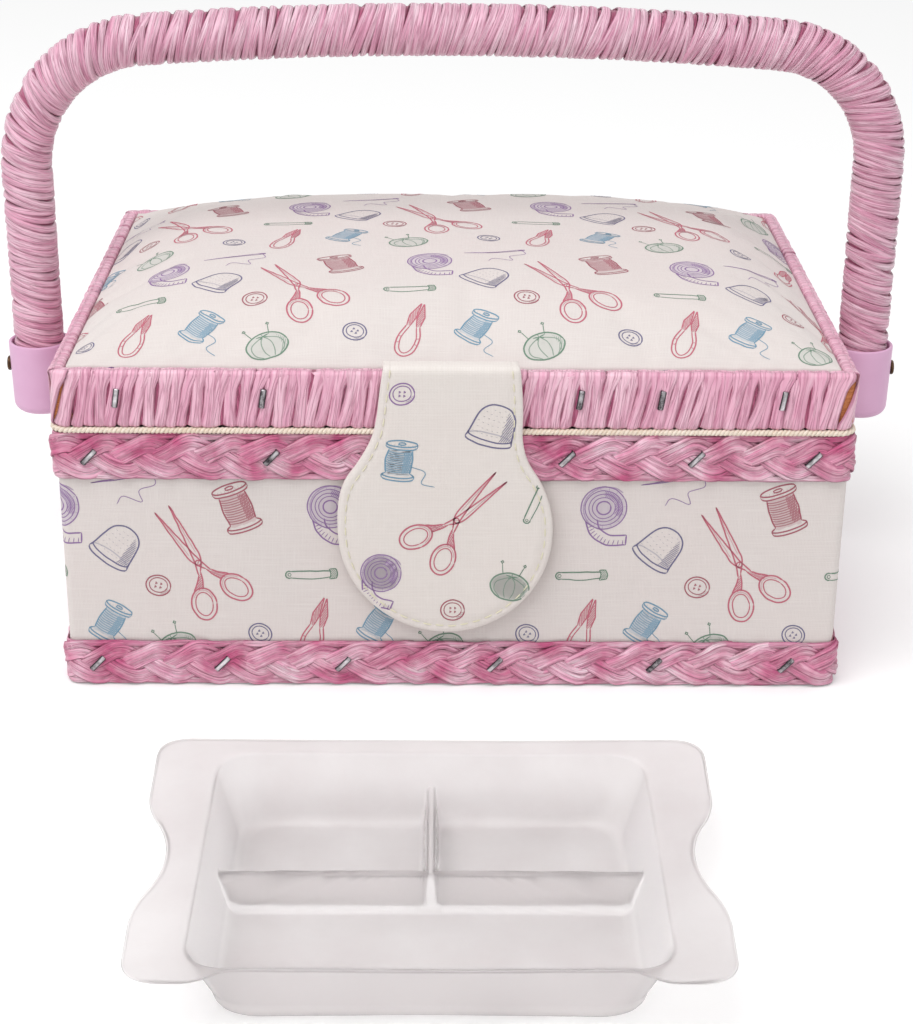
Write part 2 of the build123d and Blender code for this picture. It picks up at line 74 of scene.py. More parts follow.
def srgb(red, green, blue):
    """A colour as it looks on a screen, each channel 0 to 255, as the linear colour of a shader."""
    linear = []
    for channel in (red, green, blue):
        share = channel / 255
        linear.append(share / 12.92 if share <= 0.04045 else ((share + 0.055) / 1.055) ** 2.4)
    return (*linear, 1.0)


def place_of(node):
    """The lowest and the highest corner of a CAD piece, in millimetres."""
    low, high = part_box(node)
    return np.array(low) / MM, np.array(high) / MM


wall_low, wall_high = place_of("outer_cloth")
rim_low, rim_high = place_of("rim_wrap")
pad_low, pad_high = place_of("lid_cloth")
print("box", wall_high - wall_low, "rim", rim_high - rim_low)

# %% [markdown]
# ## The camera
#
# The photograph looks down on the basket from the front. The camera stands where the corners of the
# box and of the lid fall on their places in the picture: 71 cm in front, 33 cm up, tipped down by 23
# degrees. Its focal length was found in the picture's own pixels. The frame stands upright, so the
# lens is worked out from the picture's height.

# %% Camera
picture_height = 1024
focal_pixels = 2146.0
camera_place = np.array([-6.0, -710.0, 329.0])
pitch, yaw, roll = np.radians([23.40, 0.65, 0.50])


def stand(name, data, right, up, back, place):
    """Puts a camera or a lamp into the scene, at a place in metres. It looks away from back."""
    thing = bpy.data.objects.new(name, data)
    bpy.context.scene.collection.objects.link(thing)
    pose = Matrix.Identity(4)
    for axis, column in enumerate((right, up, back, place)):
        for row in range(3):
            pose[row][axis] = column[row]
    thing.matrix_world = pose
    return thing


forward = np.array([math.sin(yaw) * math.cos(pitch), math.cos(yaw) * math.cos(pitch), -math.sin(pitch)])
level = np.array([math.cos(yaw), -math.sin(yaw), 0.0])
upward = np.cross(level, forward)
camera_right = level * math.cos(roll) + upward * math.sin(roll)
camera_up = upward * math.cos(roll) - level * math.sin(roll)

camera_data = bpy.data.cameras.new("camera")
camera_data.sensor_fit = "VERTICAL"
camera_data.sensor_height = 36.0
camera_data.lens = focal_pixels / picture_height * camera_data.sensor_height
camera_data.clip_end = 50.0
bpy.context.scene.camera = stand("camera", camera_data, camera_right, camera_up, -forward,
                                 camera_place * MM)
print("lens", round(camera_data.lens, 1), "mm")

# %% [markdown]
# ## Shader trees in short words
#
# A finish is a tree of nodes. This small helper adds nodes, links them and does sums on sockets, so
# that a material reads like a recipe. Anything that two finishes share becomes a node group with
# named inputs and outputs: weave, raffia fibre, blotches and handling marks.


# %% Node helper
class Tree:
    """Short calls that build one node tree."""

    def __init__(self, tree):
        self.tree = tree
        tree.nodes.clear()

    def node(self, kind, inputs=None, **settings):
        made = self.tree.nodes.new(kind)
        for key, value in settings.items():
            setattr(made, key, value)
        for key, value in (inputs or {}).items():
            self.feed(made.inputs[key], value)
        return made

    def feed(self, socket, value):
        if isinstance(value, bpy.types.NodeSocket):
            self.tree.links.new(value, socket)
        else:
            socket.default_value = value

    def math(self, operation, first, second=0.0):
        return self.node("ShaderNodeMath", {0: first, 1: second}, operation=operation).outputs[0]

    def times(self, first, second):
        return self.math("MULTIPLY", first, second)

    def mix(self, factor, first, second):
        """One colour laid over another. The Mix node keeps its colour sockets at 6, 7 and 2."""
        made = self.node("ShaderNodeMix", data_type="RGBA", clamp_factor=True)
        for number, value in ((0, factor), (6, first), (7, second)):
            self.feed(made.inputs[number], value)
        return made.outputs[2]

    def spread(self, value, low, high, new_low=0.0, new_high=1.0):
        """Stretches the part of a value between low and high to a new range, and cuts off the rest."""
        made = self.node("ShaderNodeMapRange", {"Value": value, "From Min": low, "From Max": high,
                                                "To Min": new_low, "To Max": new_high})
        return made.outputs[0]

    def stretch(self, place, scale):
        """A place with each axis multiplied by its own number."""
        return self.node("ShaderNodeVectorMath", {0: place, 1: scale}, operation="MULTIPLY").outputs[0]

    def in_steps_of(self, size, place):
        """A place divided by a size, so that patterns on it grow with the size."""
        shrink = self.math("DIVIDE", 1.0, size)
        made = self.node("ShaderNodeVectorMath", {0: place, "Scale": shrink}, operation="SCALE")
        return made.outputs[0]

    def split(self, place):
        return self.node("ShaderNodeSeparateXYZ", {0: place}).outputs

    def noise(self, place, scale=1.0, detail=2.0, roughness=0.5):
        made = self.node("ShaderNodeTexNoise", {"Vector": place, "Scale": scale, "Detail": detail,
                                                "Roughness": roughness})
        return made.outputs["Fac"]

    def attribute(self, name):
        return self.node("ShaderNodeAttribute", attribute_name=name).outputs

    def bump(self, height, distance, strength=1.0):
        made = self.node("ShaderNodeBump", {"Height": height, "Distance": distance, "Strength": strength})
        return made.outputs["Normal"]


SOCKETS = {"value": "NodeSocketFloat", "vector": "NodeSocketVector", "colour": "NodeSocketColor"}


def shared_effect(name, inputs, outputs):
    """An empty node group with named sockets: its tree, what comes in, and the node that it puts out by."""
    group = bpy.data.node_groups.new(name, "ShaderNodeTree")
    for title, kind in inputs:
        group.interface.new_socket(name=title, in_out="INPUT", socket_type=SOCKETS[kind])
    for title, kind in outputs:
        group.interface.new_socket(name=title, in_out="OUTPUT", socket_type=SOCKETS[kind])
    tree = Tree(group)
    return tree, tree.node("NodeGroupInput").outputs, tree.node("NodeGroupOutput")


def use(tree, effect, **inputs):
    """Puts a shared effect into a material and gives its outputs."""
    made = tree.node("ShaderNodeGroup", node_tree=bpy.data.node_groups[effect])
    for title, value in inputs.items():
        tree.feed(made.inputs[title.replace("_", " ")], value)
    return made.outputs


# %% [markdown]
# ## The weave
#
# The cloth is a fine plain weave: each thread passes over one and under the next. Two sine ridges that
# take turns on a chequerboard give that relief. Cotton of this kind has slubs, short thicker stretches
# of thread, so two noises, each drawn out along one thread direction, lift and darken single threads.

# %% Shared effect: plain weave
tree, given, result = shared_effect("plain weave", [("Place", "vector"), ("Thread pitch", "value")],
                                    [("Height", "value"), ("Slub", "value")])
across, along, _ = tree.split(given["Place"])
half_wave = tree.math("DIVIDE", math.pi, given["Thread pitch"])
ridge_across, ridge_along = (tree.math("ABSOLUTE", tree.math("SINE", tree.times(way, half_wave)))
                             for way in (across, along))
step_across, step_along = (tree.math("FLOOR", tree.math("DIVIDE", way, given["Thread pitch"]))
                           for way in (across, along))
turn = tree.math("PINGPONG", tree.math("ADD", step_across, step_along), 1.0)
over = tree.times(turn, ridge_across)
under = tree.times(tree.math("SUBTRACT", 1.0, turn), ridge_along)
woven = tree.math("ADD", over, under)
slub_weft = tree.noise(tree.stretch(given["Place"], (0.07, 2.9, 1.0)), 1.0, 3.0, 0.6)
slub_warp = tree.noise(tree.stretch(given["Place"], (2.7, 0.08, 1.0)), 1.0, 3.0, 0.6)
slub = tree.math("MAXIMUM", slub_weft, tree.times(slub_warp, 0.94))
tree.feed(result.inputs["Slub"], tree.spread(slub, 0.42, 0.74))
tree.feed(result.inputs["Height"], tree.math("ADD", tree.times(woven, 0.55),
                                             tree.times(slub, 0.5)))
print("plain weave has", len(tree.tree.nodes), "nodes")

# %% [markdown]
# ## Raffia
#
# The pink strands are paper raffia: a thin paper, crumpled lengthways and pressed flat, with a satin
# face. Its look is in long fine creases. The strand's own mesh carries where each point lies along and
# across it, and a number that is its own, so the creases follow every turn and no two strands match.

# %% Shared effect: raffia fibre
tree, given, result = shared_effect("raffia fibre", [("Strand", "vector"), ("Crease", "value")],
                                    [("Height", "value"), ("Tone", "value"), ("Fold_shade", "value")])
fine = tree.noise(tree.stretch(given["Strand"], (0.12, 4.2, 37.0)), 1.0, 3.0, 0.65)
crease = tree.noise(tree.stretch(given["Strand"], (0.045, 1.9, 53.0)), 1.0, 2.0, 0.5)
fold_line = tree.math("ABSOLUTE", tree.math("SUBTRACT", crease, 0.5))
fold = tree.spread(fold_line, 0.0, 0.055, 1.0, 0.0)
own_tone = tree.noise(tree.stretch(given["Strand"], (0.02, 0.2, 91.0)), 1.0, 1.0, 0.5)
height = tree.math("SUBTRACT", tree.math("ADD", fine, tree.times(crease, 1.6)),
                   tree.times(fold, given["Crease"]))
tree.feed(result.inputs["Height"], height)
tree.feed(result.inputs["Tone"], tree.spread(tree.math("ADD", tree.times(fine, 0.6),
                                                       tree.times(own_tone, 0.4)), 0.38, 0.62))
# Fold marks the crease lines; the raffia material paints shade along them.
tree.feed(result.inputs["Fold_shade"], fold)
print("raffia fibre has", len(tree.tree.nodes), "nodes")

# %% [markdown]
# ## Blotches and handling marks
#
# Nothing in use is one even colour. One effect gives soft large patches, for dye and yellowing, and
# one gives the small smudges and rubbed places that change how glossy a hard surface is.

# %% Shared effects: blotches and handling
tree, given, result = shared_effect("soft blotches", [("Place", "vector"), ("Size", "value")],
                                    [("Patch", "value")])
scaled = tree.in_steps_of(given["Size"], given["Place"])
tree.feed(result.inputs["Patch"], tree.spread(tree.noise(scaled, 1.0, 3.0, 0.55), 0.33, 0.67))

tree, given, result = shared_effect("handling marks", [("Place", "vector"), ("Size", "value")],
                                    [("Smudge", "value"), ("Grain", "value")])
scaled = tree.in_steps_of(given["Size"], given["Place"])
tree.feed(result.inputs["Smudge"], tree.spread(tree.noise(scaled, 1.0, 4.0, 0.6), 0.35, 0.65))
tree.feed(result.inputs["Grain"], tree.noise(scaled, 24.0))
print("shared effects:", ", ".join(group.name for group in bpy.data.node_groups))

# %% [markdown]
# ## Cotton
#
# One recipe makes all the cotton, in three shades: the printed cloth of the box and the lid, the
# slightly creamier tab, and the plain cloth inside. Slubs lighten the thread, the weave's low gaps are
# darker and its raised threads lighter, painted shade between the threads, and a wide blotch warms the
# shade here and there. Cloth pieces know their own flat place, so the weave follows the cloth. CAD
# pieces have none and use their place in space instead.


# %% Material: cotton
def new_material(name, **all_over):
    """A material and its shader. What is the same all over is set on the shader's own sockets."""
    material = bpy.data.materials.new(name)
    material.use_nodes = True
    tree = Tree(material.node_tree)
    plain = {title.replace("_", " "): value for title, value in all_over.items()}
    shader = tree.node("ShaderNodeBsdfPrincipled", plain)
    tree.node("ShaderNodeOutputMaterial", {0: shader.outputs[0]})
    return material, tree, shader


def dress(tree, shader, colour, roughness, normal):
    """Feeds a shader what changes over the surface: its colour, its roughness and its fine relief."""
    for socket, value in (("Base Color", colour), ("Roughness", roughness), ("Normal", normal)):
        tree.feed(shader.inputs[socket], value)


def space_place(tree):
    """A point's place in the object's own space, in millimetres."""
    place = tree.node("ShaderNodeTexCoord").outputs["Object"]
    return tree.stretch(place, (1000.0, 1000.0, 1000.0))


thread_pitch = 0.46
thread_relief = 0.00006


def cotton(name, light, dark, pitch=thread_pitch, relief=thread_relief, flat_place=True):
    material, tree, shader = new_material(name, Sheen_Weight=0.12, Sheen_Roughness=0.5)
    place = tree.attribute("cloth_place")["Vector"] if flat_place else space_place(tree)
    weave = use(tree, "plain weave", Place=place, Thread_pitch=pitch)
    patch = use(tree, "soft blotches", Place=place, Size=48.0)["Patch"]
    # Painted shade: the weave's low gaps take the dark colour and its raised threads the light one.
    shade = tree.mix(tree.spread(weave["Height"], 0.25, 1.0), dark, light)
    shade = tree.mix(tree.times(weave["Slub"], 0.2), shade, srgb(243, 239, 235))
    shade = tree.mix(tree.times(patch, 0.16), shade, srgb(232, 214, 211))
    dress(tree, shader, shade, tree.spread(weave["Slub"], 0.0, 1.0, 0.95, 0.82),
          tree.bump(weave["Height"], relief, 0.8))
    return material


cotton_shade = srgb(233, 227, 223)
print_cotton = cotton("printed cotton", cotton_shade, srgb(214, 204, 201))
tab_cotton = cotton("tab cotton", srgb(240, 234, 229), srgb(221, 213, 207))
lining_cotton = cotton("lining cotton", srgb(236, 230, 219), srgb(214, 205, 191), 0.55, 0.00007, False)
print("cotton's weave has", round(10 / thread_pitch), "threads on a centimetre")

# %% [markdown]
# ## Printing ink
#
# The ink soaks into the cotton, so it has the cotton's weave and no gloss of its own. The print is
# drawn later as fine ribbons that lie on the cloth, and each ribbon carries its ink's colour.

# %% Material: ink
ink_finish, tree, shader = new_material("printing ink")
colour = tree.attribute("ink_colour")["Color"]
weave = use(tree, "plain weave", Place=tree.attribute("cloth_place")["Vector"], Thread_pitch=thread_pitch)
faded = tree.mix(tree.spread(weave["Height"], 0.2, 1.1, 0.0, 0.22), colour, cotton_shade)
dress(tree, shader, faded, 0.9, tree.bump(weave["Height"], thread_relief, 0.7))
print("ink on cotton has", len(tree.tree.nodes), "nodes")

# %% [markdown]
# ## Raffia in four shades
#
# The rim is wound with pale pink raffia, and the handle with the same, rubbed smoother by hands. The
# braids are a stronger pink with magenta patches. A first layer under the windings gets a darker copy
# of the raffia, painted shade, as it sits in the shade. All have the satin gloss of pressed paper: a
# broad highlight that breaks up on the creases. A strand's fold lines and its edges get painted shade
# in its darkest colour, which parts it from the next.


# %% Material: raffia
def raffia(name, pale, main, painted_shade, patch_colour, patch_share, patch_size=26.0, dull=0.44):
    """Dull is the roughness of the deeper fibres, and the paler, raised ones are glossier."""
    material, tree, shader = new_material(name, Sheen_Weight=0.1)
    strand = tree.attribute("strand")["Vector"]
    fibre = use(tree, "raffia fibre", Strand=strand, Crease=0.5)
    patch = use(tree, "soft blotches", Place=space_place(tree), Size=patch_size)["Patch"]
    shade = tree.mix(fibre["Tone"], main, pale)
    shade = tree.mix(tree.times(patch, patch_share), shade, patch_colour)
    # Painted shade: the crease's fold lines take the darkest colour.
    shade = tree.mix(tree.times(fibre["Fold_shade"], 0.45), shade, painted_shade)
    # Painted shade: the strand's edges darken towards the darkest colour, where one strand meets the next.
    across = tree.math("ABSOLUTE", tree.split(strand)[1])
    shade = tree.mix(tree.spread(across, 0.62, 0.96, 0.0, 0.55), shade, painted_shade)
    dress(tree, shader, shade, tree.spread(fibre["Tone"], 0.0, 1.0, dull, dull - 0.19),
          tree.bump(fibre["Height"], 0.00025))
    return material


wrap_raffia = raffia("wound raffia", srgb(250, 210, 224), srgb(231, 168, 193), srgb(152, 54, 96),
                     srgb(222, 136, 172), 0.4)
handle_raffia = raffia("raffia on the handle", srgb(255, 230, 240), srgb(227, 155, 185), srgb(138, 44, 86),
                       srgb(218, 128, 166), 0.4, dull=0.38)
braid_raffia = raffia("braided raffia", srgb(255, 238, 244), srgb(253, 174, 208), srgb(142, 40, 86),
                      srgb(202, 60, 122), 0.9, 13.0)
# Painted shade: the first layer under the windings gets this darker copy of the raffia, as it sits in the
# shade.
shaded_inner_raffia = raffia("inner raffia in painted shade", srgb(196, 104, 140), srgb(160, 70, 106), srgb(104, 28, 58),
                      srgb(148, 54, 90), 0.5)
print("raffia in four shades")

# %% [markdown]
# ## Board, cane, card and foam
#
# The hidden structure shows in few places: tan fibreboard between the strands at the lid's corners,
# and edges when the lid is up. Each gets its own grain from noises drawn out along the fibre.


# %% Materials: the hidden structure
def fibrous(name, light, dark, grain_stretch, roughness, relief):
    material, tree, shader = new_material(name)
    place = space_place(tree)
    grain = tree.noise(tree.stretch(place, grain_stretch), 1.0, 4.0, 0.6)
    marks = use(tree, "handling marks", Place=place, Size=18.0)
    dress(tree, shader, tree.mix(tree.spread(grain, 0.3, 0.7), dark, light),
          tree.spread(marks["Smudge"], 0.0, 1.0, roughness - 0.08, roughness), tree.bump(grain, relief, 0.7))
    return material


fibreboard = fibrous("fibreboard", srgb(206, 134, 84), srgb(160, 88, 50), (0.6, 0.6, 2.4), 0.86, 0.0001)
cane = fibrous("cane", srgb(212, 184, 138), srgb(176, 140, 92), (0.1, 2.0, 2.0), 0.6, 0.0001)
card = fibrous("card", srgb(214, 205, 188), srgb(190, 178, 158), (0.8, 0.8, 0.8), 0.9, 0.00005)
foam_finish = fibrous("foam", srgb(240, 234, 208), srgb(214, 204, 170), (2.6, 2.6, 2.6), 0.98, 0.0004)
print("finishes for board, cane, card and foam")

# %% [markdown]
# ## Cord, thread, metal and plastic
#
# The cord is unbleached cotton and the thread a cream polyester: both get fine fibre along the strand.
# The staples are flat galvanised wire, bright on the face with painted shade along the edges, the screws are
# bronzed, and the sockets are a smooth moulded lilac plastic whose gloss is broken by faint smudges.


# %% Materials: cord and thread
def yarn(name, light, dark, relief):
    material, tree, shader = new_material(name, Sheen_Weight=0.15)
    fibre = use(tree, "raffia fibre", Strand=tree.attribute("strand")["Vector"], Crease=0.2)
    dress(tree, shader, tree.mix(fibre["Tone"], dark, light),
          tree.spread(fibre["Tone"], 0.0, 1.0, 0.95, 0.8), tree.bump(fibre["Height"], relief, 0.7))
    return material


cream_cord = yarn("cream cord", srgb(252, 242, 228), srgb(232, 212, 190), 0.00012)
cream_thread = yarn("cream thread", srgb(242, 238, 214), srgb(222, 216, 186), 0.00005)
print("finishes for cord and thread")


# %% Materials: metal and plastic
def hard(name, light, dark, roughness, metallic, size, painted_edge_shade=False):
    """Metal or hard plastic. Size is how large its smudges are, in millimetres."""
    material, tree, shader = new_material(name, Metallic=metallic)
    marks = use(tree, "handling marks", Place=space_place(tree), Size=size)
    shade = tree.mix(marks["Smudge"], dark, light)
    # Painted shade: across its width, the wire's edges take the dark colour.
    if painted_edge_shade:
        across = tree.math("ABSOLUTE", tree.split(tree.attribute("strand")["Vector"])[1])
        shade = tree.mix(tree.spread(across, 0.4, 0.8), shade, dark)
    dress(tree, shader, shade, tree.spread(marks["Smudge"], 0.0, 1.0, roughness, roughness + 0.14),
          tree.bump(marks["Grain"], 0.00002, 0.5))
    return material


staple_wire = hard("staple wire", srgb(226, 222, 226), srgb(62, 58, 62), 0.24, 1.0, 5.0, painted_edge_shade=True)
closure_steel = hard("closure steel", srgb(205, 204, 206), srgb(170, 168, 170), 0.28, 1.0, 8.0)
bronzed_steel = hard("bronzed steel", srgb(112, 84, 62), srgb(60, 42, 32), 0.34, 0.85, 4.0)
lilac_plastic = hard("lilac plastic", srgb(226, 180, 212), srgb(218, 168, 203), 0.36, 0.0, 30.0)
print("finishes for staples, closure, screws and sockets")

# %% [markdown]
# ## The frosted tray's plastic
#
# Glass with a rough face gives frosted plastic: what lies behind shows as a soft grey. A heated sheet
# is drawn into a mould, so it stays thick and milky where it lies flat and on the back wall, and is
# clearer and paler on the other walls: partly the thinner drawn sheet, partly painted light that lifts
# walls which stand in shade, while the back wall faces the light. The mesh stores how far each point
# was drawn, with that painted light. A low index keeps so thin a sheet from bending the view like solid
# glass.

# %% Material: frosted plastic
frosted_plastic, tree, shader = new_material("frosted plastic", Transmission_Weight=0.8, IOR=1.12,
                                             Coat_Weight=0.25, Coat_Roughness=0.2)
marks = use(tree, "handling marks", Place=space_place(tree), Size=22.0)
milky = tree.mix(marks["Smudge"], srgb(226, 222, 222), srgb(232, 229, 229))
clear = srgb(253, 251, 251)
# Steep walls other than the back wall take the clear colour: partly the thinner drawn sheet, partly painted
# light on walls in shade.
dress(tree, shader, tree.mix(tree.attribute("drawn")["Fac"], milky, clear),
      tree.spread(marks["Smudge"], 0.0, 1.0, 0.42, 0.54), tree.bump(marks["Grain"], 0.00004, 0.5))
print("frosted plastic has", len(tree.tree.nodes), "nodes")

# %% [markdown]
# ## Building meshes
#
# Strands, cords and cloths are all sheets or tubes of points in rows, so a few helpers serve them all.
# A bundle gathers many strands into one mesh and remembers for each point where it lies on its strand.


# %% Mesh helpers
def row_faces(rows, columns, closed_rows=False, closed_columns=False, start=0):
    """Four-sided faces between the points of a grid that is stored row by row."""
    row = np.arange(rows if closed_rows else rows - 1)[:, None]
    column = np.arange(columns if closed_columns else columns - 1)[None, :]
    next_row = (row + 1) % rows
    next_column = (column + 1) % columns
    corners = (row * columns + column, row * columns + next_column,
               next_row * columns + next_column, next_row * columns + column)
    return np.stack([c.ravel() for c in corners], axis=1) + start


def unit(vectors):
    return vectors / np.maximum(np.linalg.norm(vectors, axis=-1, keepdims=True), 1e-9)


def join_axes(*axes):
    """Points from their coordinates on each axis. A single number stands for all points."""
    return np.stack(np.broadcast_arrays(*axes), axis=-1)


def piece(name, points, faces, material, slot, **attributes):
    """A smooth-shaded mesh from points in millimetres, with a vector or a colour for each point."""
    mesh = bpy.data.meshes.new(name)
    mesh.from_pydata((np.asarray(points) * MM).tolist(), [], [tuple(face) for face in faces])
    mesh.polygons.foreach_set("use_smooth", [True] * len(mesh.polygons))
    for title, values in attributes.items():
        kind, field = ("FLOAT_COLOR", "color") if values.shape[1] == 4 else ("FLOAT_VECTOR", "vector")
        layer = mesh.attributes.new(title, kind, "POINT")
        layer.data.foreach_set(field, values.astype(np.float32).ravel())
    mesh.materials.append(material)
    mesh.update()
    made = bpy.data.objects.new(name, mesh)
    bpy.context.scene.collection.objects.link(made)
    return made


def thicken(made, thickness, offset=-1):
    """Gives a sheet its thickness in millimetres, behind its face or, with offset 0, on both sides."""
    solid = made.modifiers.new("thickness", "SOLIDIFY")
    solid.thickness = thickness * MM
    solid.offset = offset


class Bundle:
    """Many strands in one mesh."""

    def __init__(self):
        self.points, self.faces, self.ends, self.strand, self.count = [], [], [], [], 0

    def add(self, rings, closed, along, across, number):
        """rings: one ring of section points for each step along the strand."""
        steps, sides = rings.shape[:2]
        self.faces.append(row_faces(steps, sides, closed, True, self.count))
        if not closed:
            first = self.count + np.arange(sides)[::-1]
            last = self.count + (steps - 1) * sides + np.arange(sides)
            self.ends += [first.tolist(), last.tolist()]
        self.points.append(rings.reshape(-1, 3))
        self.strand.append(join_axes(along[:, None], across, number).reshape(-1, 3))
        self.count += steps * sides

    def piece(self, name, material, slot):
        faces = np.vstack(self.faces).tolist() + self.ends
        return piece(name, np.vstack(self.points), faces, material, slot, strand=np.vstack(self.strand))


def directions(path, closed):
    """The way that a path runs at each of its points."""
    if closed:
        return unit(np.roll(path, -1, axis=0) - np.roll(path, 1, axis=0))
    return unit(np.gradient(path, axis=0))


def distances(path):
    return np.concatenate([[0.0], np.cumsum(np.linalg.norm(np.diff(path, axis=0), axis=1))])


def on_line(wanted, place, line):
    """The flat points at the wanted places of a line, whose own points lie at the given places."""
    return np.stack([np.interp(wanted, place, line[:, k]) for k in (0, 1)], axis=-1)


# The section of a flat strand: places across it, where its crown rises and where its back lies.
FLAT_ACROSS = np.array([-1.0, -0.72, -0.36, 0.0, 0.36, 0.72, 1.0, 0.62, 0.0, -0.62])
FLAT_UPPER = np.array([0.0, 0.62, 0.93, 1.0, 0.93, 0.62, 0.0, 0.0, 0.0, 0.0])
FLAT_LOWER = np.array([0.35, 0.0, 0.0, 0.0, 0.0, 0.0, 0.35, 1.0, 1.0, 1.0])


ROUND_SIDES = 7


def across_and_face(path, out, closed=False):
    """For each point of a strand: the way across it, and the way its face looks, nearest to out."""
    way = directions(path, closed)
    side = unit(np.cross(way, out))
    return side, unit(np.cross(side, way))


def flat_strand(bundle, path, out, width, thickness, crown, tilt=0.0, number=0, closed=False):
    """A flat strand: its face looks along out, it is crowned, and tilt lifts one edge over its neighbour."""
    side, face = across_and_face(path, out, closed)
    width = np.broadcast_to(width, len(path))[:, None]
    tilt = np.broadcast_to(tilt, len(path))[:, None]
    sideways = side[:, None, :] * (FLAT_ACROSS * width / 2)[..., None]
    height = FLAT_UPPER * crown - FLAT_LOWER * thickness + tilt * FLAT_ACROSS
    rings = path[:, None, :] + sideways + face[:, None, :] * height[..., None]
    bundle.add(rings, closed, distances(path), FLAT_ACROSS, number)


def round_strand(bundle, path, out, radius, number):
    """A round strand, such as a ply of cord or a stitch."""
    side, face = across_and_face(path, out)
    angle = np.linspace(0, 2 * np.pi, ROUND_SIDES, endpoint=False)
    radius = np.broadcast_to(radius, len(path))[:, None, None]
    rings = (path[:, None, :] + side[:, None, :] * np.cos(angle)[None, :, None] * -radius
             + face[:, None, :] * np.sin(angle)[None, :, None] * radius)
    bundle.add(rings, False, distances(path), np.cos(angle), number)


# %% [markdown]
# ## Going round a corner
#
# Cloth, braids and rim all run round a rectangle with rounded corners. One path serves them all. It
# starts in the middle of the back and runs so that the front is read from left to right.


# %% Paths
class Path:
    """A line with its length, its points and the direction that it faces, in two dimensions."""

    def __init__(self, points, facing):
        self.points = np.array(points)
        self.facing = np.unwrap(np.array(facing))
        self.place = distances(self.points)
        self.length = self.place[-1]

    def at(self, place, closed=True):
        place = place % self.length if closed else place
        facing = np.interp(place, self.place, self.facing)
        return on_line(place, self.place, self.points), join_axes(np.cos(facing), np.sin(facing))


def round_path(half_x, half_y, radius, steps=16):
    """Round a rectangle with rounded corners, from the middle of the far side, anticlockwise."""
    points, facing = [(0.0, half_y)], [math.pi / 2]
    corners = ((-1, 1, 90), (-1, -1, 180), (1, -1, 270), (1, 1, 360))
    for sign_x, sign_y, start in corners:
        centre = (sign_x * (half_x - radius), sign_y * (half_y - radius))
        for angle in np.radians(np.linspace(start, start + 90, steps + 1)):
            points.append((centre[0] + radius * math.cos(angle), centre[1] + radius * math.sin(angle)))
            facing.append(angle)
    points.append((0.0, half_y))
    facing.append(math.radians(450))
    return Path(points, facing)


def on_ring(path, place, offset=0.0, z=0.0):
    """Points and outward directions in space on a level ring."""
    flat, normal = path.at(place)
    flat = flat + normal * np.asarray(offset)[..., None]
    out = join_axes(normal[..., 0], normal[..., 1], 0.0)
    return join_axes(flat[..., 0], flat[..., 1], z), out


def soft_noise(points, size, seed):
    """A smooth field of waves between about -1 and 1, the sum of a few slanted sines."""
    waves = np.random.default_rng(seed)
    total = np.zeros(len(points))
    for _ in range(7):
        way = waves.normal(size=points.shape[1])
        way = way / np.linalg.norm(way) * waves.uniform(0.6, 1.6) * 2 * np.pi / size
        total += np.sin(points @ way + waves.uniform(0, 2 * np.pi))
    return total / 4


# %% [markdown]
# ## The cloth round the box
#
# One strip of printed cotton is glued round the four boards and turned over their top edge. It is a
# sheet of points: along the box and up the wall. The glue leaves it almost flat, with slight waves,
# and its end laps over its start in the middle of the back. A Solidify modifier gives it thickness.


# %% Cloth laid on the basket
class LaidCloth:
    """A cloth cut flat, u across and v along in millimetres, and the points where it lies."""

    def __init__(self, u, v, points):
        self.u, self.v, self.points = u, v, points
        slope_u = np.gradient(points, axis=1)
        slope_v = np.gradient(points, axis=0)
        self.normals = unit(np.cross(slope_u, slope_v))

    def piece(self, name, material, slot, thickness, offset=-1, turned_over=False):
        """The cloth as a mesh that knows its flat places, thickened by Solidify."""
        u, v = np.meshgrid(self.u, self.v)
        flat = join_axes(u.ravel(), v.ravel(), 0.0)
        faces = row_faces(len(self.v), len(self.u))[:, ::-1 if turned_over else 1]
        made = piece(name, self.points.reshape(-1, 3), faces, material, slot, cloth_place=flat)
        thicken(made, thickness, offset)
        return made

    def put(self, flat, lift):
        """Points on the laid cloth for flat places, raised off its face."""
        column = np.interp(flat[:, 0], self.u, np.arange(len(self.u)))
        row = np.interp(flat[:, 1], self.v, np.arange(len(self.v)))
        c = np.minimum(column.astype(int), len(self.u) - 2)
        r = np.minimum(row.astype(int), len(self.v) - 2)
        s, t = (column - c)[:, None], (row - r)[:, None]

        def between(grid):
            low = grid[r, c] * (1 - s) + grid[r, c + 1] * s
            high = grid[r + 1, c] * (1 - s) + grid[r + 1, c + 1] * s
            return low * (1 - t) + high * t

        return between(self.points) + unit(between(self.normals)) * lift

    def holds(self, flat):
        return ((flat[:, 0] > self.u[0]) & (flat[:, 0] < self.u[-1])
                & (flat[:, 1] > self.v[0]) & (flat[:, 1] < self.v[-1]))


# %% The box's cloth
box_corner_radius = 2.5
turn_over = 3.6
top_roll = 0.6
lap_width = 9.0
lap_height = 0.3
lap_edge = 0.4
cloth_thickness = 0.5
box_path = round_path(wall_high[0], wall_high[1], box_corner_radius)


def box_columns():
    """Places round the box: every 3 mm, closer at the corners and at the lap."""
    places = [np.arange(0, box_path.length, 3.0), lap_width + np.array([-lap_edge, 0.0, lap_edge])]
    for corner in np.radians((135, 225, 315, 405)):
        middle = np.interp(corner, box_path.facing, box_path.place)
        places.append(middle + np.linspace(-2.4, 2.4, 9))
    return np.unique(np.concatenate(places).round(3))


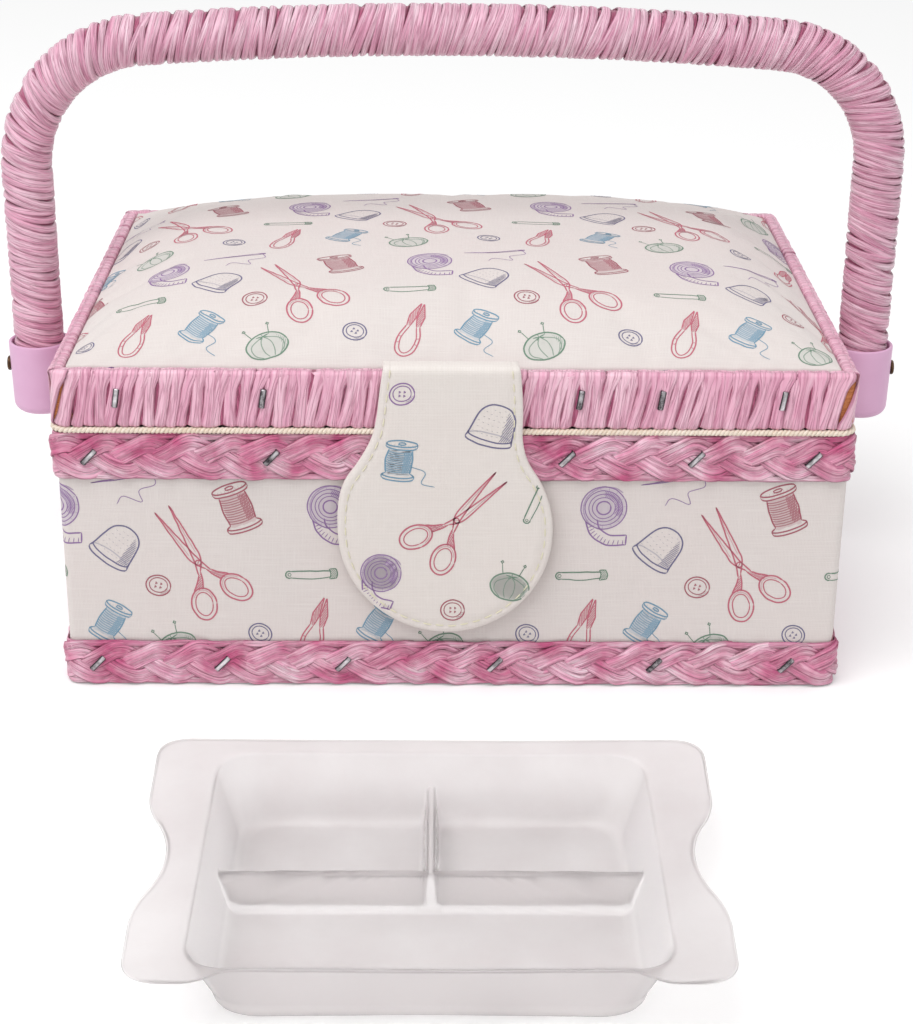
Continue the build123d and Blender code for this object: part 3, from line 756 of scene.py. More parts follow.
def build_box_cloth():
    u = np.append(box_columns(), box_path.length)
    top = wall_high[2]
    wall_rows = np.concatenate([[wall_low[2]], np.arange(3, top - 1.1, 3.0), [top - top_roll]])
    profile = [(0.0, z) for z in wall_rows]
    profile += [(top_roll * (math.cos(a) - 1), top - top_roll + top_roll * math.sin(a))
                for a in (0.6, 1.1, math.pi / 2)]
    profile += [(-turn_over / 2, top), (-turn_over, top)]
    profile = np.array(profile)
    v = wall_low[2] + distances(profile)
    grid_u, grid_out = np.meshgrid(u, profile[:, 0])
    grid_z = np.meshgrid(u, profile[:, 1])[1]
    flat = join_axes(grid_u.ravel(), grid_z.ravel())
    wave = 0.10 * soft_noise(flat, 70.0, 1).reshape(grid_u.shape)
    lap = lap_height * np.clip((lap_width + lap_edge - grid_u) / lap_edge, 0, 1)
    points, _ = on_ring(box_path, grid_u, grid_out + wave + lap, grid_z)
    laid = LaidCloth(u, v, points)
    made = laid.piece("box_cloth", print_cotton, "printed_cloth", cloth_thickness)
    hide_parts("outer_cloth")
    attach(made, "basket")
    print("box cloth is", round(u[-1]), "mm round and", round(v[-1] - v[0], 1), "mm high")
    return laid


box_laid = build_box_cloth()

# %% [markdown]
# ## The padded lid
#
# The lid's cloth is pulled over foam and tucked in behind the rim on all four sides, so it swells in
# the middle and falls off steeply at the edges. A smooth formula gives a first crown. Then Blender's
# Cloth blows it up a little from inside, pinned at the tucked edge and a touch too large for its
# opening (the negative shrink), so it gets the small puckers of stretched cotton. How far a point may
# move is capped.

# %% The pad
pad_half = (pad_high - pad_low)[:2] / 2
pad_top = pad_high[2] - 0.4
pad_shoulder = rim_high[2] - 0.7
pad_power = (10.0, 8.0)
pad_dome = (0.3, 0.26)
tuck_depth = 2.6
pad_cap = 2.0
cloth_frames = 20
cloth_run = {
    "quality": 6, "mass": 0.2, "tension_stiffness": 12, "compression_stiffness": 12,
    "shear_stiffness": 4, "bending_stiffness": 0.3, "shrink_min": -0.004,
    "use_pressure": True, "uniform_pressure_force": 4.0, "vertex_group_mass": "tucked",
}


def pad_height(x, y):
    """How far the pad rises above its shoulder, as a share of the crown."""
    side_x = np.abs(x / pad_half[0]) ** pad_power[0]
    side_y = np.abs(y / pad_half[1]) ** pad_power[1]
    dome = 1 - pad_dome[0] * (x / pad_half[0]) ** 2 - pad_dome[1] * (y / pad_half[1]) ** 2
    return (np.clip(1 - side_x, 0, 1) * np.clip(1 - side_y, 0, 1)) ** 0.8 * dome


def close_at_edges(half, count):
    """Places from one edge to the other, closer together near the edges."""
    share = np.linspace(-1, 1, count)
    return half * (1.35 * share - 0.35 * share ** 3)


def finer(grid, axis):
    """Puts a smooth point between each two rows or columns."""
    grid = np.moveaxis(grid, axis, 0)
    padded = np.concatenate([2 * grid[:1] - grid[1:2], grid, 2 * grid[-1:] - grid[-2:-1]])
    between = (9 * (padded[1:-2] + padded[2:-1]) - padded[:-3] - padded[3:]) / 16
    out = np.empty((2 * len(grid) - 1,) + grid.shape[1:])
    out[::2], out[1::2] = grid, between
    return np.moveaxis(out, 0, axis)


def blow_up(start):
    """A short Cloth run on a grid of points, pinned at its edge. Gives the points after it."""
    rows, columns = start.shape[:2]
    mesh = bpy.data.meshes.new("pad_run")
    mesh.from_pydata((start.reshape(-1, 3) * MM).tolist(), [], row_faces(rows, columns).tolist())
    cloth = bpy.data.objects.new("pad_run", mesh)
    bpy.context.scene.collection.objects.link(cloth)
    edge = np.zeros((rows, columns), bool)
    edge[[0, -1], :] = edge[:, [0, -1]] = True
    tucked = cloth.vertex_groups.new(name="tucked")
    tucked.add(np.flatnonzero(edge.ravel()).tolist(), 1.0, "REPLACE")
    run = cloth.modifiers.new("cloth", "CLOTH")
    for setting, value in cloth_run.items():
        setattr(run.settings, setting, value)
    run.settings.effector_weights.gravity = 0
    for frame_number in range(1, cloth_frames + 1):
        bpy.context.scene.frame_set(frame_number)
    blown = cloth.evaluated_get(bpy.context.evaluated_depsgraph_get()).to_mesh()
    points = np.empty(rows * columns * 3)
    blown.vertices.foreach_get("co", points)
    bpy.context.scene.frame_set(1)
    bpy.data.objects.remove(cloth)
    moved = points.reshape(rows, columns, 3) / MM - start
    far = np.linalg.norm(moved, axis=2, keepdims=True)
    print("the cloth moved up to", round(float(far.max()), 2), "mm, capped at", pad_cap)
    return start + moved * np.minimum(1, pad_cap / np.maximum(far, 1e-6))


def build_pad():
    x = close_at_edges(pad_half[0], 73)
    y = close_at_edges(pad_half[1], 55)
    grid_x, grid_y = np.meshgrid(x, y)
    flat = join_axes(grid_x.ravel(), grid_y.ravel())
    rise = pad_height(grid_x, grid_y)
    swell = 0.4 * soft_noise(flat, 90.0, 3) + 0.2 * soft_noise(flat, 38.0, 4)
    swell = swell.reshape(grid_x.shape) * np.minimum(1, 3 * rise)
    grid_z = pad_shoulder + (pad_top - pad_shoulder - pad_cap) * rise + swell
    points = join_axes(grid_x, grid_y, grid_z)
    points = blow_up(points)
    points[..., 2] += np.minimum(1, 2 * rise) * (pad_top - points[..., 2].max())
    points = finer(finer(points, 0), 1)
    tuck = [0, 0, tuck_depth]
    points = np.concatenate([points[:1] - tuck, points, points[-1:] - tuck], axis=0)
    left, right = (side * [1, 1, 0] + [0, 0, pad_shoulder - tuck_depth]
                   for side in (points[:, :1], points[:, -1:]))
    points = np.concatenate([left, points, right], axis=1)
    middle_row, middle_column = points.shape[0] // 2, points.shape[1] // 2
    u = distances(points[middle_row])
    v = distances(points[:, middle_column])
    u, v = u - u[middle_column], v - v[middle_row]
    laid = LaidCloth(u, v, points)
    made = laid.piece("lid_pad_cloth", print_cotton, "printed_cloth", 0.6)
    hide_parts("lid_cloth")
    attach(made, "lid")
    print("pad cloth is cut", round(u[-1] - u[0]), "by", round(v[-1] - v[0]), "mm, top at",
          round(points[..., 2].max(), 1))
    return laid


pad_laid = build_pad()

# %% [markdown]
# ## The foam under it
#
# The foam fills the cloth. It is the cloth's own surface, sunk by its thickness, closed by walls and
# a flat underside that lies on the lid's panel.


# %% The foam
def build_foam():
    under_cloth = 0.9
    top = (pad_laid.points - pad_laid.normals * under_cloth)[1:-1, 1:-1].copy()
    inset = pad_half - 1.0
    top[..., 0] = np.clip(top[..., 0], -inset[0], inset[0])
    top[..., 1] = np.clip(top[..., 1], -inset[1], inset[1])
    rows, columns = top.shape[:2]
    bottom = top * [1, 1, 0] + [0, 0, place_of("lid_foam")[0][2]]
    points = np.concatenate([top.reshape(-1, 3), bottom.reshape(-1, 3)])
    size = rows * columns
    faces = [row_faces(rows, columns), row_faces(rows, columns, start=size)[:, ::-1]]
    grid = np.arange(size).reshape(rows, columns)
    edge = np.concatenate([grid[0], grid[1:, -1], grid[-1, -2::-1], grid[-2:0:-1, 0]])
    after = np.roll(edge, -1)
    faces.append(np.stack([after, edge, edge + size, after + size], axis=1))
    made = piece("foam_pad", points, np.vstack(faces), foam_finish, "foam")
    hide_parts("lid_foam")
    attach(made, "lid")
    print("the foam has", len(points), "points")


build_foam()

# %% [markdown]
# ## The wound rim
#
# The lid's edge is four thin boards on end, wound with flat raffia. Each turn is its own strand here:
# it goes up the outside, over the top and down the inside. On the top edge the turns lie wide and
# close. Down the face they fold narrower, lean and cross, which leaves the small dark wedges between
# them. A helix would do on a rod, but round four corners single turns are easier to steer. A first
# layer of raffia closes the board, except at the corners, where the tan board shows; its darker colour is
# painted shade.

# %% The wound rim
strand_thickness = 0.35
rim_half_thickness = 2.7
rim_hang = 1.0
bare_corner = 3.2
section_steps = 27
rim_path = round_path(rim_high[0] - rim_half_thickness, rim_high[1] - rim_half_thickness, 2.4)


def from_front_corner(place):
    """How far a place on the rim is from the nearest front corner, in millimetres along it."""
    corners = [np.interp(math.radians(angle), rim_path.facing, rim_path.place) for angle in (225, 315)]
    return min(abs(place - corner) for corner in corners)


def wind_rim(bundle, pitch, wide, narrow, crown, lean, wild, buried, tilt, bare=0.0):
    """One layer of turns round the rim: wide is a turn's width on the top edge, narrow on its face.

    Lean shifts a turn's foot sideways, wild bends it, buried sinks the layer, and tilt lifts one edge.
    """
    half_height = (rim_high[2] - rim_low[2] + rim_hang) / 2
    middle = (rim_high[2] + rim_low[2] - rim_hang) / 2
    buried += crown
    section = round_path(rim_half_thickness - buried, half_height - buried, 0.9, 5)
    even = np.linspace(0, section.length, section_steps)
    steps = np.unique(np.concatenate([section.place[:-1], even[:-1]]).round(3))
    steps = steps[np.concatenate([[True], np.diff(steps) > 0.25])]
    offset, facing = section.at(steps)
    height_share = offset[:, 1] / offset[:, 1].max()
    count = round(rim_path.length / pitch)
    for number in range(count):
        start = (number + 0.5) * rim_path.length / count + random.normal(0, 0.05 * pitch)
        if from_front_corner(start) < bare:
            continue
        own_lean = lean * random.uniform(0.4, 1.6)
        bulge = random.normal(0, wild)
        place = start + own_lean * height_share + bulge * (1 - height_share ** 2)
        base, out = on_ring(rim_path, place)
        path = base + out * offset[:, :1] + np.outer(offset[:, 1] + middle, [0, 0, 1])
        face = out * facing[:, :1] + np.outer(facing[:, 1], [0, 0, 1])
        top = np.clip((height_share - 0.5) / 0.4, 0, 1)
        foot = np.clip((-height_share - 0.6) / 0.4, 0, 1)
        width = (narrow + (wide - narrow) * top + 0.12 * wide * foot) * random.uniform(0.9, 1.12)
        height = crown * random.uniform(0.75, 1.2) * (1 - 0.4 * top)
        flat_strand(bundle, path, face, width, strand_thickness, height[:, None],
                    tilt * random.choice([-1.0, 1.0, 1.0]), number, True)
    return count


def build_rim():
    inner = Bundle()
    wind_rim(inner, pitch=3.9, wide=4.9, narrow=4.9, crown=0.12, lean=-0.8, wild=0.08, buried=0.75,
             tilt=0.08, bare=bare_corner)
    lining = inner.piece("rim_first_layer", shaded_inner_raffia, "raffia")
    outer = Bundle()
    count = wind_rim(outer, pitch=3.6, wide=6.6, narrow=4.1, crown=0.9, lean=1.4, wild=0.42,
                     buried=0.05, tilt=0.32)
    made = outer.piece("rim_strands", wrap_raffia, "raffia")
    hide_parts("rim_wrap")
    for layer in (lining, made):
        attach(layer, "lid")
    print("the rim has", count, "turns")


build_rim()

# %% [markdown]
# ## The wrapped handle
#
# A cane rod is bent to shape and wound from socket to socket. Here the winding is one helix that
# follows the rod's centre line. On the real one each turn lies tilted, so it leans on the face that
# is seen, and the strand is folded narrow and round. It wanders: some turns ride up on others, and
# the short dark gaps between them show a first layer that is wound the other way, in a darker raffia that is
# painted shade.

# %% The wrapped handle
wrap_low, wrap_high = place_of("handle_wrap")
leg_x = -np.mean(place_of("left_socket"), axis=0)[0]
pivot_y = (wrap_low[1] + wrap_high[1]) / 2
wrap_radius = (wrap_high[1] - wrap_low[1]) / 2
left_bend = 44.0
right_bend = 39.0
handle_crown = 1400.0
steps_per_turn = 20


def handle_line():
    """The rod's centre line in the handle's plane, from the left foot to the right one: three arcs."""
    crown_z = wrap_high[2] - wrap_radius - handle_crown

    def bend(radius):
        x = leg_x - radius
        z = crown_z + math.sqrt((handle_crown - radius) ** 2 - x ** 2)
        return x, z, math.atan2(z - crown_z, x)

    left_x, left_z, left_rise = bend(left_bend)
    right_x, right_z, right_rise = bend(right_bend)
    points, facing = [(-leg_x, wrap_low[2])], [math.pi]
    for x, z, radius, angles in (
            (-left_x, left_z, left_bend, np.linspace(math.pi, math.pi - left_rise, 50)),
            (0.0, crown_z, handle_crown, np.linspace(math.pi - left_rise, right_rise, 60)[1:-1]),
            (right_x, right_z, right_bend, np.linspace(right_rise, 0, 50))):
        points += [(x + radius * math.cos(a), z + radius * math.sin(a)) for a in angles]
        facing += list(angles)
    points.append((leg_x, wrap_low[2]))
    facing.append(0.0)
    return Path(points, facing)


handle_path = handle_line()


def on_handle(place, angle, radius):
    """Points on the rod's skin: place along it, angle round it, from the side away from the box."""
    flat, normal = handle_path.at(place, closed=False)
    lift = np.cos(angle)
    out = join_axes(normal[:, 0] * lift, np.sin(angle), normal[:, 1] * lift)
    centre = join_axes(flat[:, 0], pivot_y, flat[:, 1])
    return centre + out * np.asarray(radius)[..., None], out


def wind_handle(bundle, pitch, way, lean, spread, wander, width, thickness, crown, buried, tilt):
    """One helix from foot to foot. Lean tips each turn, spread and wander make the turns differ."""
    length = handle_path.length
    turns = round(length / pitch)
    turn = np.arange(turns * steps_per_turn + 1) / steps_per_turn
    angle = -2 * np.pi * turn * way
    knots = np.arange(turns + 2)

    def each(values):
        return np.interp(turn, knots, values)

    tip = each(lean + random.normal(0, spread, turns + 2))
    roam = each(random.normal(0, wander, turns + 2))
    ride_up = each(random.uniform(-0.3, 0.2, turns + 2)) * crown
    edge = np.clip(np.minimum(turn, turns - turn) / 3, 0, 1)
    place = np.clip(turn / turns * length + (roam + tip * np.cos(angle)) * edge, 0, length)
    path, out = on_handle(place, angle, wrap_radius - buried + ride_up)
    widths = width * each(random.uniform(0.82, 1.18, turns + 2))
    flat_strand(bundle, path, out, widths, thickness, crown, tilt)
    return turns


def build_handle_wrap():
    inner = Bundle()
    wind_handle(inner, pitch=4.2, way=-1, lean=1.0, spread=0.3, wander=0.15, width=5.2, thickness=0.3,
                crown=0.15, buried=1.2, tilt=0.1)
    lining = inner.piece("handle_first_layer", shaded_inner_raffia, "raffia")
    outer = Bundle()
    turns = wind_handle(outer, pitch=2.25, way=1, lean=3.1, spread=1.05, wander=0.2, width=2.9,
                        thickness=0.35, crown=0.55, buried=0.62, tilt=0.34)
    made = outer.piece("handle_raffia", handle_raffia, "raffia")
    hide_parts("handle_wrap")
    for layer in (lining, made):
        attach(layer, "handle")
    print("the handle has", turns, "turns over", round(handle_path.length), "mm")


build_handle_wrap()

# %% [markdown]
# ## The braids
#
# A flat braid of three strands is three copies of one wave. Seen from the front each strand swings
# from edge to edge, and it passes in and out twice as often, a third of the way behind its neighbour.
# That one formula gives the true over and under. Each strand is four thin ribbons side by side, so it
# reads as fibre. The wave is pressed flat at both edges, as the braid was pulled tight, and a straight
# ribbon behind each edge closes the hollows. The upper braid draws in above the handle's bush.

# %% The braids
braid_wave = 39.0
braid_strand = 7.6
braid_swing = 4.7
braid_depth = 0.6
braid_middle = 1.15
braid_step = 1.3
ribbons = 4
ribbon_thickness = 0.25
edge_ribbon = {"width": 2.3, "inset": 1.25, "behind": 0.25}
bush_top = place_of("right_spacer")[1][2]
bush_reach = 22
bush_squeeze = 0.42


def press_flat(height, limit):
    """Holds a wave back near a limit: past 80 % of it, only a quarter of the height is left."""
    over = np.clip(np.abs(height) - 0.8 * limit, 0, None)
    return height - np.sign(height) * over * 0.75


def build_braid(node):
    low, high = place_of(node)
    limit = (high[2] - low[2]) / 2
    half_x, half_y = wall_high[:2] + braid_middle
    ring = round_path(half_x, half_y, box_corner_radius + braid_middle)
    waves = round(ring.length / braid_wave)
    steps = int(ring.length / braid_step)
    place = np.arange(steps) * ring.length / steps
    phase = 2 * np.pi * waves * place / ring.length
    bundle = Bundle()
    near_bush = np.ones(steps)
    if low[2] < bush_top < high[2]:
        points, _ = on_ring(ring, place)
        gap = np.abs(points[:, 1] - pivot_y) / bush_reach
        near_bush -= bush_squeeze * np.where(np.abs(points[:, 0]) > wall_high[0], np.exp(-gap ** 4), 0)

    def drift(row, size, seed):
        """A slow change along the ring, another one for each row."""
        return soft_noise(join_axes(place, row), size, seed)

    for strand in range(3):
        own = phase + strand * 2 * np.pi / 3
        loose = drift(strand * 300, 60.0, strand)
        swing = (braid_swing + 0.3 * loose) * np.arcsin(0.95 * np.sin(own)) / math.asin(0.95)
        for ribbon in range(ribbons):
            share = (ribbon + 0.5) / ribbons * 2 - 1
            stray = drift(strand * 90 + ribbon * 17, 22.0, ribbon + 7)
            spread = braid_strand / 2 * (1 - 1 / ribbons) * share * (1 + 0.06 * loose)
            height = press_flat(swing + spread + 0.4 * stray, limit)
            height = high[2] - (limit - height) * near_bush
            hump = 0.3 * (1 - share ** 2) + 0.16 * drift(ribbon * 51, 30.0, strand + 21)
            lift = braid_depth * np.sin(2 * own) + hump + 0.22 * np.cos(own) * share
            path, out = on_ring(ring, place, lift, height)
            width = braid_strand / ribbons * 1.4 * (1 + 0.25 * stray) * near_bush
            tilt = 0.26 * np.sign(np.sin(ribbon * 2.4 + strand)) + 0.12 * np.cos(own + ribbon)
            flat_strand(bundle, path, out, width, ribbon_thickness, 0.24, tilt, strand * 10 + ribbon, True)
    for side in (-1, 1):
        loose = 0.25 * drift(side * 700, 18.0, 40 + side)
        height = high[2] - (limit - side * (limit - edge_ribbon["inset"]) - loose) * near_bush
        path, out = on_ring(ring, place, -edge_ribbon["behind"], height)
        flat_strand(bundle, path, out, edge_ribbon["width"], ribbon_thickness, 0.3, 0.1, 40 + side, True)
    made = bundle.piece(node + "_strands", braid_raffia, "braided_raffia")
    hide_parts(node)
    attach(made, "basket")
    print(node, "has", waves, "waves round the box")


for braid_node in ("upper_braid", "lower_braid"):
    build_braid(braid_node)

# %% [markdown]
# ## The twisted cord
#
# A cream cord of two plies is glued under the rim on three sides. Two round strands wind about the
# cord's middle line, half a turn apart, so they touch all along.

# %% The twisted cord
cord_low, cord_high = place_of("lid_cord")
cord_lay = 2.7
cord_step = 0.35
ply_radius = 0.6
ply_swing = 0.52
cord_shift = {"out": 0.5, "down": 0.6}


def build_cord():
    radius = (cord_high[2] - cord_low[2]) / 2
    half_x, half_y = cord_high[0] - radius, -cord_low[1] - radius
    line = round_path(half_x, half_y, 4.0)
    start = half_x + (half_y - cord_high[1])
    place = np.arange(start, line.length - start, cord_step)
    base, out = on_ring(line, place, cord_shift["out"], (cord_low[2] + cord_high[2]) / 2 - cord_shift["down"])
    bundle = Bundle()
    for ply in range(2):
        angle = 2 * np.pi * place / cord_lay + ply * np.pi
        path = base + ply_swing * (out * np.cos(angle)[:, None] + np.outer(np.sin(angle), [0, 0, 1]))
        round_strand(bundle, path, out, ply_radius, ply)
    made = bundle.piece("twisted_cord", cream_cord, "cream_cord")
    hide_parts("lid_cord")
    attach(made, "lid")
    print("each ply runs", round(place[-1] - place[0]), "mm round the lid")


build_cord()

# %% [markdown]
# ## The tab
#
# The tab is two layers of cloth over card, with a stitched edge. It lies on the rim's top, bends over
# its edge and hangs down the front. It is drawn flat first: rings of points run from the middle out
# to the edge, round it and back, so that the edge is one soft roll. Then the top is bent over.

# %% The tab's outline
tab_low, tab_high = place_of("tab_front_cloth")
tab_back = place_of("tab_back_cloth")[1][1]
tab_x = (tab_low[0] + tab_high[0]) / 2
tab_top_width = 42.0
tab_neck = 20.0
tab_lobe = (tab_high[0] - tab_low[0]) / 2
tab_thickness = tab_back - tab_low[1]
tab_lap = 5.2
tab_bend = 2.4
tab_round = 0.5


def tab_half_width(z):
    """Half the tab's width at a height: the neck, the hollow flank and the lobe."""
    half_top = tab_top_width / 2
    lobe_z = tab_low[2] + tab_lobe
    neck_z = tab_high[2] - tab_neck
    drop = neck_z - lobe_z
    flank = (half_top ** 2 + drop ** 2 - tab_lobe ** 2) / (2 * (tab_lobe - half_top))
    flank_x = half_top + flank
    touch = lobe_z + tab_lobe * math.sin(math.atan2(drop, flank_x))
    in_lobe = np.sqrt(np.clip(tab_lobe ** 2 - (z - lobe_z) ** 2, 0, None))
    in_flank = flank_x - np.sqrt(np.clip(flank ** 2 - (neck_z - z) ** 2, 0, None))
    return np.where(z > neck_z, half_top, np.where(z > touch, in_flank, in_lobe))


def tab_edge(inset, steps=120):
    """The flat tab's edge from the top right, round the lobe, to the top left, moved in by inset."""
    lobe_z = tab_low[2] + tab_lobe
    top = tab_high[2] + tab_lap
    flank_z = np.linspace(top, lobe_z, steps // 2)
    right = join_axes(tab_half_width(flank_z), flank_z)
    angle = np.linspace(0, -np.pi / 2, steps // 3)[1:]
    lobe = join_axes(tab_lobe * np.cos(angle), lobe_z + tab_lobe * np.sin(angle))
    half = np.concatenate([right, lobe])
    edge = np.concatenate([half, (half * [-1, 1])[-2::-1]])
    way = unit(np.gradient(edge, axis=0))
    inward = join_axes(way[:, 1], -way[:, 0])
    moved = edge + inward * inset
    moved[:, 1] = np.minimum(moved[:, 1], top - min(inset, 0.8))
    return moved


# Where a flank swells: how far to the right, at which height and over what reach.
left_flank = ((-3.8, 77, 14), (-0.8, 48, 18), (1.2, 112, 8))
right_flank = ((2.2, 94, 20),)
tab_sag = 1.4


def uneven(flat):
    """The cloth tab was cut by hand: its left flank swells higher up, and its neck stands a little right."""
    x, z = flat[:, 0], flat[:, 1]
    left, right = (sum(far * np.exp(-((z - height) / reach) ** 2) for far, height, reach in flank)
                   for flank in (left_flank, right_flank))
    share = np.clip(np.abs(x) / tab_half_width(np.maximum(z, tab_low[2] + 2.0)), 0, 1)
    lower = tab_sag * np.clip((60 - z) / 38, 0, 1)
    return join_axes(x + np.where(x < 0, left, right) * share, z - lower)


def bend_tab(flat, depth):
    """Bends the flat tab over the rim: flat holds x and the height, depth is how far behind the face."""
    flat = uneven(flat)
    start = tab_high[2] - tab_bend
    angle = np.clip((flat[:, 1] - start) / tab_bend, 0, np.pi / 2)
    beyond = np.clip(flat[:, 1] - start - tab_bend * np.pi / 2, 0, None)
    radius = tab_bend - depth
    y = tab_low[1] + tab_bend - radius * np.cos(angle) + beyond
    z = np.minimum(flat[:, 1], start) + radius * np.sin(angle)
    return join_axes(tab_x + flat[:, 0], y, z)


# %% The tab's cloth
stitch_inset = 2.4
stitch_groove = 0.22


def build_tab():
    half = tab_thickness / 2
    rings = [(share, None, 0.0) for share in (1.0, 0.88, 0.75, 0.62, 0.49, 0.37, 0.25, 0.15, 0.07)]
    rings += [(0.0, inset, 0.0) for inset in (stitch_inset + 0.5, stitch_inset, stitch_inset - 0.5, 1.5)]
    rings += [(0.0, tab_round * (1 - math.sin(a)), half * (1 - math.cos(a)))
              for a in np.radians((25, 50, 70))]
    rings += [(0.0, 0.0, half)]
    rings += [(share, inset, tab_thickness - depth) for share, inset, depth in rings[-2::-1]]
    inner_edge = tab_edge(stitch_inset + 1.2)
    spine = join_axes(0.0, np.maximum(inner_edge[:, 1], tab_low[2] + tab_lobe))
    points = []
    for share, inset, depth in rings:
        flat = inner_edge + (spine - inner_edge) * share if inset is None else tab_edge(inset)
        groove = stitch_groove if inset == stitch_inset else 0.0
        depths = depth + (groove if depth < half else -groove)
        points.append(bend_tab(flat, np.full(len(flat), depths)))
    cloud = np.concatenate(points)
    cloud, same = np.unique(cloud.round(4), axis=0, return_inverse=True)
    rows, columns = len(points), len(points[0])
    shell = row_faces(rows, columns).tolist()
    for end in (0, columns - 1):
        for k in range(rows // 2):
            cap = [number * columns + end for number in (k, k + 1, rows - 2 - k, rows - 1 - k)]
            shell.append(cap if end else cap[::-1])
    joined = [list(dict.fromkeys(same.ravel()[face].tolist())) for face in shell]
    faces = [face for face in joined if len(face) > 2]
    flat_all = join_axes(cloud[:, 0], cloud[:, 2] - cloud[:, 1], 0.0)
    made = piece("tab_cloth", cloud, faces, tab_cotton, "printed_cloth", cloth_place=flat_all)
    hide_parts("tab_front_cloth", "tab_back_cloth", "tab_root")
    print("the tab has", len(cloud), "points")
    return made


tab_cloth = build_tab()

# %% [markdown]
# ## The tab's stitches
#
# Round the tab's free edge runs a line of running stitches in cream thread, a little inside the edge.
# Each stitch is a short round strand that dips into the cloth at both ends.

# %% The tab's stitches
stitch_length = 2.5
stitch_gap = 1.4
stitch_points = 9
thread_radius = 0.2


def build_stitches():
    line = tab_edge(stitch_inset, 400)
    line = line[line[:, 1] < tab_high[2] - 0.5]
    place = distances(line)
    bundle = Bundle()
    count = int(place[-1] / (stitch_length + stitch_gap))
    for face, outward in ((0.0, -1.0), (tab_thickness, 1.0)):
        for number in range(count):
            start = (number + 0.2) * place[-1] / count
            along = start + np.linspace(0, stitch_length, stitch_points)
            flat = on_line(along, place, line) + random.normal(0, 0.06, 2)
            path = bend_tab(flat, np.full(stitch_points, face))
            arch = np.sqrt(np.clip(1 - np.linspace(-1, 1, stitch_points) ** 2, 0, 1))
            path[:, 1] += outward * (thread_radius * arch - 0.08)
            out = np.tile([0.0, outward, 0.0], (stitch_points, 1))
            round_strand(bundle, path, out, thread_radius * (0.55 + 0.45 * arch), number)
    made = bundle.piece("tab_stitches", cream_thread, "thread")
    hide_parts("tab_stitching")
    print(count, "stitches on each face")
    return made


tab_stitches = build_stitches()

# %% [markdown]
# ## Drawing with a pen
#
# The cotton has a small sewing print. It could be an image, but lines drawn in code stay sharp at any
# size. The pen collects strokes on flat paper. Each motif is a few strokes in its own little frame, in
# millimetres, with its middle at zero.


# %% A pen
line_width = 0.52


def way_at(angle, length=1.0):
    return np.array([math.cos(math.radians(angle)), math.sin(math.radians(angle))]) * length


class Pen:
    """Collects strokes: points in millimetres, the stroke's width and how strong its ink is."""

    def __init__(self):
        self.strokes = []

    def line(self, points, width=line_width, ink=1.0):
        self.strokes.append((np.array(points, float), width, ink))

    def tint(self, outline, angle, ink):
        """A pale wash under the strokes, laid on as lines that touch."""
        self.hatch(outline, angle, 0.5, 0.6, ink)

    def arc(self, centre, radii, start=0, end=360, turn=0, width=line_width, ink=1.0):
        angle = np.radians(np.linspace(start, end, max(4, int(abs(end - start) / 12) + 1)))
        x, y = radii[0] * np.cos(angle), radii[1] * np.sin(angle)
        turn = math.radians(turn)
        cos, sin = math.cos(turn), math.sin(turn)
        points = join_axes(x * cos - y * sin, x * sin + y * cos)
        self.line(points + centre, width, ink)

    def curve(self, points, width=line_width, ink=1.0):
        """A smooth line through its points."""
        points = np.array(points, float)
        ends = np.vstack([2 * points[0] - points[1], points, 2 * points[-1] - points[-2]])
        smooth = []
        for a, b, c, d in zip(ends, ends[1:], ends[2:], ends[3:]):
            for t in np.linspace(0, 1, 9, endpoint=False):
                smooth.append(0.5 * (2 * b + (c - a) * t + (2 * a - 5 * b + 4 * c - d) * t ** 2
                                     + (3 * b - a - 3 * c + d) * t ** 3))
        self.line(smooth + [points[-1]], width, ink)

    def hatch(self, outline, angle, spacing, width=0.34, ink=0.75):
        """Parallel lines that fill an outline."""
        outline = np.array(outline, float)
        along, across = way_at(angle), way_at(angle + 90)
        level = outline @ across
        for height in np.arange(level.min() + spacing / 2, level.max(), spacing):
            cuts = []
            for first, second in zip(outline, np.roll(outline, -1, axis=0)):
                low, high = first @ across - height, second @ across - height
                if low * high < 0:
                    cuts.append((first + (second - first) * low / (low - high)) @ along)
            for start, end in zip(sorted(cuts)[::2], sorted(cuts)[1::2]):
                self.line([along * start + across * height, along * end + across * height], width, ink)


# %% [markdown]
# ## The motifs
#
# Tailor's shears, thread snips, reels, a rolled tape, a thimble, a pincushion, buttons, a safety pin
# and a needle with thread. Each is drawn from what such a thing is built of.


# %% Motifs with blades
def shears(pen):
    for side in (-1, 1):
        tip, heel = np.array([side * 3.0, 25.0]), np.array([side * -1.2, -3.5])
        back = np.array([side * 2.6, 3.0])
        pen.curve([heel, (side * 1.9, 1.5), back + (0, 6), tip])
        pen.curve([tip, (side * 0.4, 9.0), (side * -1.0, 1.0), heel + (side * -1.4, -1.0)])
        pen.line([(side * 1.4, 4.0), (side * 2.4, 21.0)], 0.25, 0.6)
        bow = np.array([side * -7.0, -15.5])
        pen.arc(bow, (4.7, 6.6), 0, 360, side * -22, 0.58)
        pen.arc(bow, (3.2, 4.9), 0, 360, side * -22, 0.4)
        pen.arc(bow, (3.95, 5.75), 20, 150, side * -22, 0.3, 0.55)
        pen.curve([heel, (side * -2.2, -6.5), (side * -4.0, -10.0)])
        pen.curve([heel + (side * -1.4, -1.0), (side * -4.4, -6.6), (side * -7.6, -9.3)])
        pen.hatch([heel, (side * -2.2, -6.5), (side * -4.0, -10.0), (side * -7.4, -9.4), (side * -4.4, -6.4)],
                  20 * side, 0.6, 0.4, 0.85)
    pen.arc((0, 0), (1.1, 1.1), width=0.5)
    pen.line([(-0.6, -0.6), (0.6, 0.6)], 0.3)


